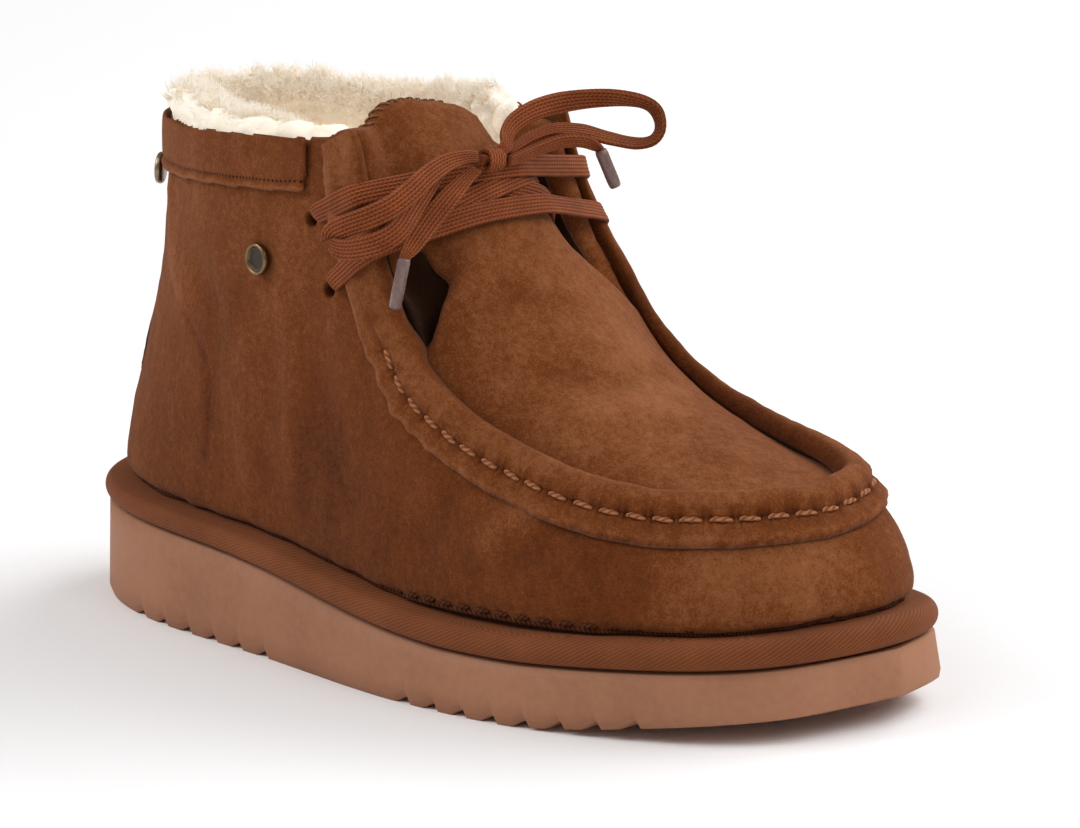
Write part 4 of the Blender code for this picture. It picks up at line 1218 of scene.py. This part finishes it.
band_mesh = even_skin(solid_of("collar_band"), 0.0009, 8)
collar_centre = Vector((-0.065, 0.0, 0.13))
BAND_STEPS = 120
HEM_AT, HEM_WIDTH = 0.0008, 0.0009
ROW_AT, ROW_WIDTH = 0.0024, 0.0006
band_edge, band_run = bearings(band_mesh, collar_centre, BAND_STEPS)
band_map = band_mesh.loops.layers.uv.new("band")
wear_and_painted_light = band_mesh.verts.layers.float.new("wear_and_painted_light")
for vertex in band_mesh.verts:
    away = vertex.co - collar_centre
    turn = (math.atan2(away.y, away.x) / (2 * math.pi) % 1.0) * BAND_STEPS - 0.5
    k = int(math.floor(turn)) % BAND_STEPS
    edge = band_edge[k].lerp(band_edge[(k + 1) % BAND_STEPS], turn - math.floor(turn))
    up = vertex.co.z - edge.z
    length = band_run[k] + (band_run[k + 1] - band_run[k]) * (turn - math.floor(turn))
    for loop in vertex.link_loops:
        loop[band_map].uv = (length, up)
    out = 0.0006 * bell(up - HEM_AT, HEM_WIDTH) - 0.0007 * bell(up - ROW_AT, ROW_WIDTH)
    out += 0.0004 * noise.noise(vertex.co * 90.0)
    # Lighter along the rounded fold, as wear and a painted highlight; the row of stitch holes above it
    # painted darker as painted shade; the top edge lighter with wear.
    shade = 0.03 + 0.16 * bell(up - HEM_AT, HEM_WIDTH) - 0.12 * bell(up - ROW_AT, ROW_WIDTH)
    vertex[wear_and_painted_light] = shade + 0.10 * eased((up - 0.0165) / 0.003)
    vertex.co += Vector((away.x, away.y, 0.0)).normalized() * out
BAND_PITCH = 0.0015
band_suede = suede.copy()
band_suede.name = "band_suede"
band_tree = band_suede.node_tree
band_shader = band_tree.nodes["Principled BSDF"]
cut = node(band_tree, "SeparateXYZ", {"Vector": node(band_tree, "UVMap", uv_map="band").outputs["UV"]})
along = sums(
    band_tree, "SUBTRACT",
    sums(band_tree, "FRACT", sums(band_tree, "MULTIPLY", cut.outputs["X"], 1 / BAND_PITCH)), 0.5,
)
above = sums(band_tree, "MULTIPLY", sums(band_tree, "SUBTRACT", cut.outputs["Y"], 0.0027), 1 / 0.0017)
reach = sums(
    band_tree, "SQRT",
    sums(
        band_tree, "ADD", sums(band_tree, "MULTIPLY", along, along),
        sums(band_tree, "MULTIPLY", above, above),
    ),
)
# The stitch holes in a row above the fold are painted as near-black dots, a painted shade.
painted_hole_shade = node(
    band_tree, "MapRange",
    {"Value": reach, "From Min": 0.16, "From Max": 0.30, "To Min": 1.0, "To Max": 0.0},
)
base = band_shader.inputs["Base Color"].links[0].from_socket
shaded = node(
    band_tree, "MixRGB",
    {"Fac": painted_hole_shade.outputs["Result"], "Color1": base, "Color2": (0.012, 0.004, 0.002, 1.0)},
)
band_tree.links.new(shaded.outputs["Color"], band_shader.inputs["Base Color"])
add_piece("collar_band_suede", band_mesh, band_suede, "suede", "collar_band", close=False)

# The heel patch: a small oblong of darker leather on the back of the heel. It is left bare, with soft
# corners and a slightly uneven face.
patch_mesh = even_skin(solid_of("heel_tab"), 0.0006, 4)
patch_layer = patch_mesh.verts.layers.float.new("wear_and_painted_light")
for vertex in patch_mesh.verts:
    vertex.co += vertex.normal * 0.00015 * noise.noise(vertex.co * 300.0)
    vertex[patch_layer] = -0.05
add_piece(
    "heel_patch", patch_mesh,
    suede_finish("patch_leather", (0.020, 0.008, 0.004), (0.050, 0.020, 0.009), (0.09, 0.04, 0.02)),
    "suede", "heel_tab", close=False,
)


# The studs: capped rivets of aged brass, one on the outer side and one at the back. Each is a shallow
# dish with a rolled rim, its middle darkened and left plain.
def brass_finish(name, edge, middle):
    made, tree = new_finish(name)
    spot = node(tree, "TexCoord")
    out = node(tree, "SeparateXYZ", {"Vector": spot.outputs["UV"]}).outputs["X"]
    stain = speckle(tree, spot.outputs["Object"], 700.0, 4.0, 0.65)
    scratch = speckle(tree, spot.outputs["Object"], 2400.0, 3.0)
    shade = sums(tree, "MULTIPLY_ADD", stain, 0.5, sums(tree, "SUBTRACT", out, 0.25))
    colour = colours(
        tree, shade, (0.30, *middle), (0.62, *(channel * 1.5 for channel in middle)), (0.80, *edge)
    )
    shine = node(
        tree, "MapRange", {"Value": shade, "From Min": 0.4, "From Max": 0.9, "To Min": 0.62, "To Max": 0.30}
    )
    metal = node(
        tree, "MapRange", {"Value": shade, "From Min": 0.3, "From Max": 0.7, "To Min": 0.55, "To Max": 1.0}
    )
    bump = bumps(tree, sums(tree, "MULTIPLY_ADD", scratch, 0.5, stain), 0.4, 0.0002)
    coat(tree, {"Base Color": colour, "Normal": bump})
    coat(tree, {"Roughness": shine.outputs["Result"], "Metallic": metal.outputs["Result"]})
    return made


STUD_PROFILE = (
    (0.0, 0.66), (0.30, 0.65), (0.58, 0.60), (0.66, 0.56), (0.70, 0.62), (0.76, 0.86), (0.84, 1.0),
    (0.93, 0.96), (1.0, 0.72), (1.0, 0.30), (0.90, 0.0),
)


def make_stud(name, piece_name, finish):
    """A stud turned about its own axis to fill the place of a stud in the frame."""
    corners = [vertex.co.copy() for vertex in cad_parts[name].data.vertices]
    middle = sum(corners, Vector()) / len(corners)
    _, axis, _, _ = wall_tree.find_nearest(middle)
    heights = [(corner - middle).dot(axis) for corner in corners]
    low, high = min(heights), max(heights)
    radius = max(((corner - middle) - axis * height).length for corner, height in zip(corners, heights))
    mesh = bmesh.new()
    rim = [mesh.verts.new((out * radius, 0.0, low + up * (high - low))) for out, up in STUD_PROFILE]
    edges = [mesh.edges.new(pair) for pair in zip(rim, rim[1:])]
    bmesh.ops.spin(
        mesh, geom=rim + edges, axis=(0, 0, 1), cent=(0, 0, 0), steps=40, angle=2 * math.pi, use_merge=True
    )
    bmesh.ops.remove_doubles(mesh, verts=mesh.verts, dist=1e-7)
    bottom = [edge for edge in mesh.edges if edge.is_boundary]
    bmesh.ops.holes_fill(mesh, edges=bottom)
    mapped = mesh.loops.layers.uv.verify()
    for face in mesh.faces:
        for loop in face.loops:
            loop[mapped].uv = (loop.vert.co.xy.length / radius, 0.0)
    bmesh.ops.transform(
        mesh, matrix=Matrix.Translation(middle) @ axis.to_track_quat("Z", "Y").to_matrix().to_4x4(),
        verts=mesh.verts,
    )
    piece = add_piece(piece_name, mesh, finish, "aged_brass", name)
    subdivide(piece, 1)
    return piece


make_stud(
    "side_stud", "brass_side_stud", brass_finish("dark_brass", (0.21, 0.135, 0.066), (0.044, 0.034, 0.025))
)
make_stud(
    "back_stud", "brass_back_stud", brass_finish("worn_brass", (0.26, 0.20, 0.13), (0.10, 0.080, 0.060))
)

# The whipped edge: waxed thread sewn over and over along the top edge of the tongue. Each turn of it
# is laid over the edge from the front, leaning a little.
whips = bmesh.new()
tongue_edge = places(
    (-0.0040, -0.0252, 0.1395), (-0.0056, -0.0235, 0.1435), (-0.0064, -0.0195, 0.1462),
    (-0.0066, -0.0130, 0.1478), (-0.0066, -0.0040, 0.1478), (-0.0062, 0.0040, 0.1460),
)
WHIP_PITCH, WHIP_THICKNESS = 0.0029, 0.0008
whip_line = curve_through(tongue_edge, WHIP_PITCH)
skin_tree = BVHTree.FromObject(upper, bpy.context.evaluated_depsgraph_get())
for k in range(1, len(whip_line) - 1):
    way = (whip_line[k + 1] - whip_line[k - 1]).normalized()
    front_way = Vector((0.72, 0.0, 0.55))
    front_way = (front_way - way * front_way.dot(way)).normalized()
    over = way.cross(front_way).normalized()
    if over.z < 0 and abs(over.z) > 0.3 or over.y > 0 and abs(over.z) <= 0.3:
        over.negate()
    lean = random.uniform(0.7, 1.0) * 0.0012
    path = []
    for share in range(9):
        turn = 1.35 * share / 8 * random.uniform(0.97, 1.03) - 1.0
        aim = over * math.cos(turn) - front_way * math.sin(turn)
        middle = whip_line[k] - over * 0.0030 - front_way * 0.0025
        hit, normal, _, _ = skin_tree.ray_cast(middle + aim * 0.012, -aim)
        if hit:
            path.append(
                hit + normal * (0.0003 if 0 < share < 8 else -0.0004) - way * lean * (share - 4) / 4
            )
    if len(path) > 5:
        add_stitch(whips, path, over, WHIP_THICKNESS)
add_piece(
    "tongue_whip_stitches", whips,
    thread_finish("whip_thread", (0.13, 0.050, 0.022), (0.24, 0.105, 0.052), (0.36, 0.18, 0.10)), "suede",
)

# The welt stitches: where the upper comes down to the bead it is sewn round with dark thread, each
# stitch lying along the crease and drawing the suede down a little.
WELT_PITCH = 0.0066
WELT_REACH = 0.0021
welt = bmesh.new()
bead_tree = BVHTree.FromObject(bead, bpy.context.evaluated_depsgraph_get())


def crease(bearing):
    """Where the upper meets the bead in a direction from the middle of the sole."""
    away = Vector((math.cos(bearing) * 0.145, math.sin(bearing) * 0.055, 0.0))
    found = None
    for step in range(60):
        start = away * 1.3 + Vector((0.0, 0.0, 0.0440 - step * 0.0003))
        skin_place, skin_way, _, skin_far = skin_tree.ray_cast(start, -away)
        bead_place, _, _, bead_far = bead_tree.ray_cast(start, -away)
        on_skin = skin_place and skin_place.dot(away) > 0
        on_bead = bead_place and bead_place.dot(away) > 0
        if on_bead and (not on_skin or bead_far < skin_far):
            break
        if on_skin:
            found = skin_place, skin_way
    return found


crease_line = []
CREASE_STEPS = 720
for k in range(CREASE_STEPS):
    found = crease(2 * math.pi * k / CREASE_STEPS)
    if found:
        crease_line.append(found)
for _ in range(6):
    crease_line = [
        tuple((a[part] + b[part] * 2 + c[part]) / 4 for part in (0, 1))
        for a, b, c in zip(crease_line[-1:] + crease_line, crease_line, crease_line[1:] + crease_line[:1])
    ]
crease_run = [0.0]
for (a, _), (b, _) in zip(crease_line, crease_line[1:]):
    crease_run.append(crease_run[-1] + (b - a).length)


def on_crease(length):
    """The place just outside the crease at a length along it, and which way is outwards there."""
    k = min(bisect.bisect_right(crease_run, length) - 1, len(crease_run) - 2)
    share = (length - crease_run[k]) / max(crease_run[k + 1] - crease_run[k], 1e-9)
    place = crease_line[k][0].lerp(crease_line[k + 1][0], share)
    normal = crease_line[k][1].lerp(crease_line[k + 1][1], share)
    flat = Vector((normal.x, normal.y, 0.0)).normalized()
    return place + flat * 0.0007 + Vector((0.0, 0.0, 0.0010)), flat


length = 0.003
while length < crease_run[-1] - 0.004:
    reach = WELT_REACH * random.uniform(0.9, 1.1)
    plump = eased((on_crease(length)[0].x + 0.045) / 0.05)
    path = []
    for share in (-1.0, -0.75, -0.35, 0.0, 0.35, 0.75, 1.0):
        place, normal = on_crease(length + share * reach)
        lift = 0.0004 if abs(share) < 0.7 else 0.0001 if abs(share) < 0.9 else -0.0008
        path.append(place + normal * (lift - 0.0009 * (1 - plump)))
    add_stitch(welt, path, normal, 0.0010 + 0.0003 * plump)
    length += WELT_PITCH * random.uniform(0.95, 1.05)
for start in range(0, len(crease_line), 24):
    rings, reaches = [], []
    for k in range(start, start + 25):
        place, normal = crease_line[k % len(crease_line)]
        flat = Vector((normal.x, normal.y, 0.0)).normalized()
        along = flat.cross(Vector((0.0, 0.0, 1.0)))
        rings.append(
            [
                place
                + flat * (0.0009 * math.cos(turn) - 0.0002)
                + Vector((0.0, 0.0, 0.0009 * math.sin(turn) - 0.0003))
                for turn in (math.pi * corner / 4 for corner in range(8))
            ]
        )
        reaches.append(k * 0.001)
    loft(welt, rings, reaches)
add_piece(
    "welt_stitches", welt,
    thread_finish("dark_thread", (0.020, 0.0055, 0.0016), (0.062, 0.0170, 0.0050), (0.125, 0.038, 0.0120)),
    "suede",
)


# The fleece: clipped sheepskin lines the boot and the back of the tongue. It is a soft lumpy base with
# its wool drawn up into locks, and fine hairs on those, which stand 5 to 12 mm over the collar's edge.
def fleece_finish():
    made, tree = new_finish("cream_fleece")
    spot = node(tree, "TexCoord")
    tip = node(tree, "SeparateXYZ", {"Vector": spot.outputs["UV"]}).outputs["X"]
    lumps = speckle(tree, spot.outputs["Object"], 130.0, 3.0)
    curl = speckle(tree, spot.outputs["Object"], 900.0, 4.0, 0.7)
    # Darker at the roots of the wool and lighter at its tips, a painted shade deep in the pile.
    shade = sums(tree, "MULTIPLY_ADD", tip, 0.55, sums(tree, "MULTIPLY", lumps, 0.5))
    shade = sums(tree, "MULTIPLY_ADD", curl, 0.25, shade)
    stained = speckle(tree, spot.outputs["Object"], 45.0)
    shade = sums(tree, "SUBTRACT", sums(tree, "ADD", shade, 0.10), sums(tree, "MULTIPLY", stained, 0.30))
    colour = colours(
        tree, shade, (0.15, 0.88, 0.66, 0.43), (0.38, 0.98, 0.87, 0.70), (0.62, 0.995, 0.95, 0.86)
    )
    bump = bumps(tree, curl, 0.7, 0.001)
    coat(tree, {"Base Color": colour, "Normal": bump, "Roughness": 1.0, "Specular IOR Level": 0.1})
    # A painted glow: a faint warm emission keeps the wool's hollows bright.
    coat(tree, {"Emission Color": (1.0, 0.80, 0.58, 1.0), "Emission Strength": 0.16})
    coat(tree, {"Sheen Weight": 0.4, "Sheen Roughness": 0.6, "Sheen Tint": (1.0, 0.86, 0.68, 1.0)})
    return made


def map_wool(mesh, tip):
    """Gives each corner of a mesh its share of the way up the wool, found by tip from the corner."""
    layer = mesh.loops.layers.uv.new("wool")
    for face in mesh.faces:
        for loop in face.loops:
            loop[layer].uv = (tip(loop.vert), 0.0)


fleece = fleece_finish()
lining_mesh.normal_update()
roots = []
for face in lining_mesh.faces:
    middle = face.calc_center_median()
    over = middle.z - 0.115
    if over > 0 and (middle.x < -0.012 or middle.z > 0.132 and face.normal.x < -0.2):
        roots.append((middle, face.normal.copy(), over, face.calc_area()))
moves = []
for vertex in lining_mesh.verts:
    lump = 0.5 + 0.9 * noise.fractal(vertex.co * 190.0, 0.6, 2.0, 4)
    moves.append((vertex, vertex.normal * 0.0022 * lump * (0.0 if vertex.is_boundary else 1.0)))
for vertex, move in moves:
    vertex.co += move
# The lining lies deep inside and takes a darker share, a painted shade.
map_wool(lining_mesh, lambda corner: 0.35)
lining = add_piece("fleece_lining", lining_mesh, fleece, "fleece", close=False)

footbed_mesh = even_skin(solid_of("insole"), 0.0018, 3)
moves = []
for vertex in footbed_mesh.verts:
    lump = noise.fractal(vertex.co * 190.0, 0.6, 2.0, 4)
    moves.append((vertex, vertex.normal * (0.0018 * lump + 0.0030 * (1 - abs(vertex.normal.z)))))
for vertex, move in moves:
    vertex.co += move
map_wool(footbed_mesh, lambda corner: 0.4)
footbed = add_piece("fleece_footbed", footbed_mesh, fleece, "fleece", "insole", close=False)


def lock_shape(length, thickness, sides, rings, bend, wave):
    """A lock of wool: a thin cone that stands on the origin, tapers, and curls over."""
    mesh = bmesh.new()
    bmesh.ops.create_cone(
        mesh, cap_ends=True, segments=sides, radius1=thickness / 2, radius2=thickness / 8, depth=length
    )
    bmesh.ops.translate(mesh, verts=mesh.verts, vec=(0.0, 0.0, length / 2))
    sides_of = [edge for edge in mesh.edges if abs(edge.verts[0].co.z - edge.verts[1].co.z) > length / 2]
    bmesh.ops.subdivide_edges(mesh, edges=sides_of, cuts=rings)
    mapped = mesh.loops.layers.uv.new("wool")
    for vertex in mesh.verts:
        share = vertex.co.z / length
        swell = 1 + 0.5 * math.sin(math.pi * share) - 0.3 * share
        turn = bend * share
        vertex.co.x *= swell
        vertex.co.y *= swell
        reach = length * share
        vertex.co.x += reach * math.sin(turn) * 0.8 + 0.0006 * math.sin(wave * share * 6.0)
        vertex.co.y += 0.0006 * math.cos(wave * share * 5.0 + bend)
        vertex.co.z = reach * math.cos(turn * 0.8)
        for loop in vertex.link_loops:
            loop[mapped].uv = (share, 0.0)
    made = bpy.data.meshes.new("lock")
    mesh.to_mesh(made)
    mesh.free()
    return made


def grow(roots, count, length, thickness, sides, rings, spread, lift):
    """Sets locks of wool on a surface's places, most and longest where it stands highest."""
    shapes = [
        lock_shape(length, thickness, sides, rings, random.uniform(0.2, 1.1), random.uniform(0.6, 1.6))
        for _ in range(12)
    ]
    turned = [Matrix.Identity(4)] * len(shapes)
    mesh = bmesh.new()
    weights = [area * (0.3 + 1.2 * eased(over / 0.022)) for _, _, over, area in roots]
    for place, normal, over, _ in random.choices(roots, weights, k=count):
        k = random.randrange(len(shapes))
        lean = Vector(noise.noise(place * 130.0 + Vector((9.0 * axis, 0.0, 0.0))) for axis in range(3))
        stray = Vector((random.gauss(0, 1), random.gauss(0, 1), random.gauss(0, 0.6)))
        rise = eased(over / 0.02)
        inwards = Vector((collar_centre.x - place.x, -place.y, 0.0)).normalized()
        upward = Vector((0.0, 0.0, 0.2 + 0.8 * rise))
        way = normal * (0.8 - 0.3 * rise) * (1 - lift) + normal * lift + upward * (1 - lift)
        way = (way + inwards * 0.55 * rise * (1 - lift) + lean * 1.1 + stray * spread).normalized()
        shorter = 1.0 if lift else 1.02 - 0.42 * eased((place.x + 0.1) / 0.05)
        size = random.uniform(0.75, 1.15) * (0.62 + 0.38 * rise) * shorter
        size *= 0.55 if place.x > -0.012 else 1.0
        size *= 1.0 - 0.55 * eased((place.x + 0.045) / 0.030) * eased(-place.y / 0.010)
        side = Vector((random.gauss(0, 1), random.gauss(0, 1), 0.3)).cross(way).normalized()
        axes = Matrix((side, way.cross(side), way)).transposed().to_4x4()
        root = place - normal * 0.0008 + inwards * 0.0020 * rise * (1 - lift)
        stand = Matrix.Translation(root) @ axes @ Matrix.Scale(size, 4)
        shapes[k].transform(stand @ turned[k].inverted())
        turned[k] = stand
        mesh.from_mesh(shapes[k])
    for shape in shapes:
        bpy.data.meshes.remove(shape)
    return mesh


random.seed(5)
LOCKS, LOCK_LENGTH, LOCK_THICKNESS = 2600, 0.0088, 0.0040
pile_mesh = grow(roots, LOCKS, LOCK_LENGTH, LOCK_THICKNESS, 6, 3, 0.25, 0.0)
pile_mesh = even_skin(pile_mesh, 0.00085, 3)
pile_places = []
for face in pile_mesh.faces:
    middle = face.calc_center_median()
    pile_places.append((middle, face.normal.copy(), middle.z - 0.122, face.calc_area()))
# The pile is painted lighter the higher it stands, a painted light on its top.
map_wool(pile_mesh, lambda corner: 0.45 + 0.35 * eased((corner.co.z - 0.125) / 0.02))
pile = add_piece("fleece_pile", pile_mesh, fleece, "fleece", close=False)
hair_roots = []
for root in pile_places:
    outward = root[0].z < 0.1475 and root[1].dot(root[0] - collar_centre) > 0
    if root[2] > 0 and root[1].z > -0.3 + 1.2 * outward:
        hair_roots.append(root)
HAIRS, HAIR_LENGTH, HAIR_THICKNESS = 13000, 0.0045, 0.00026
hairs = grow(hair_roots, HAIRS, HAIR_LENGTH, HAIR_THICKNESS, 3, 1, 0.25, 0.5)
fuzz = add_piece("fleece_hairs", hairs, fleece, "fleece", close=False)
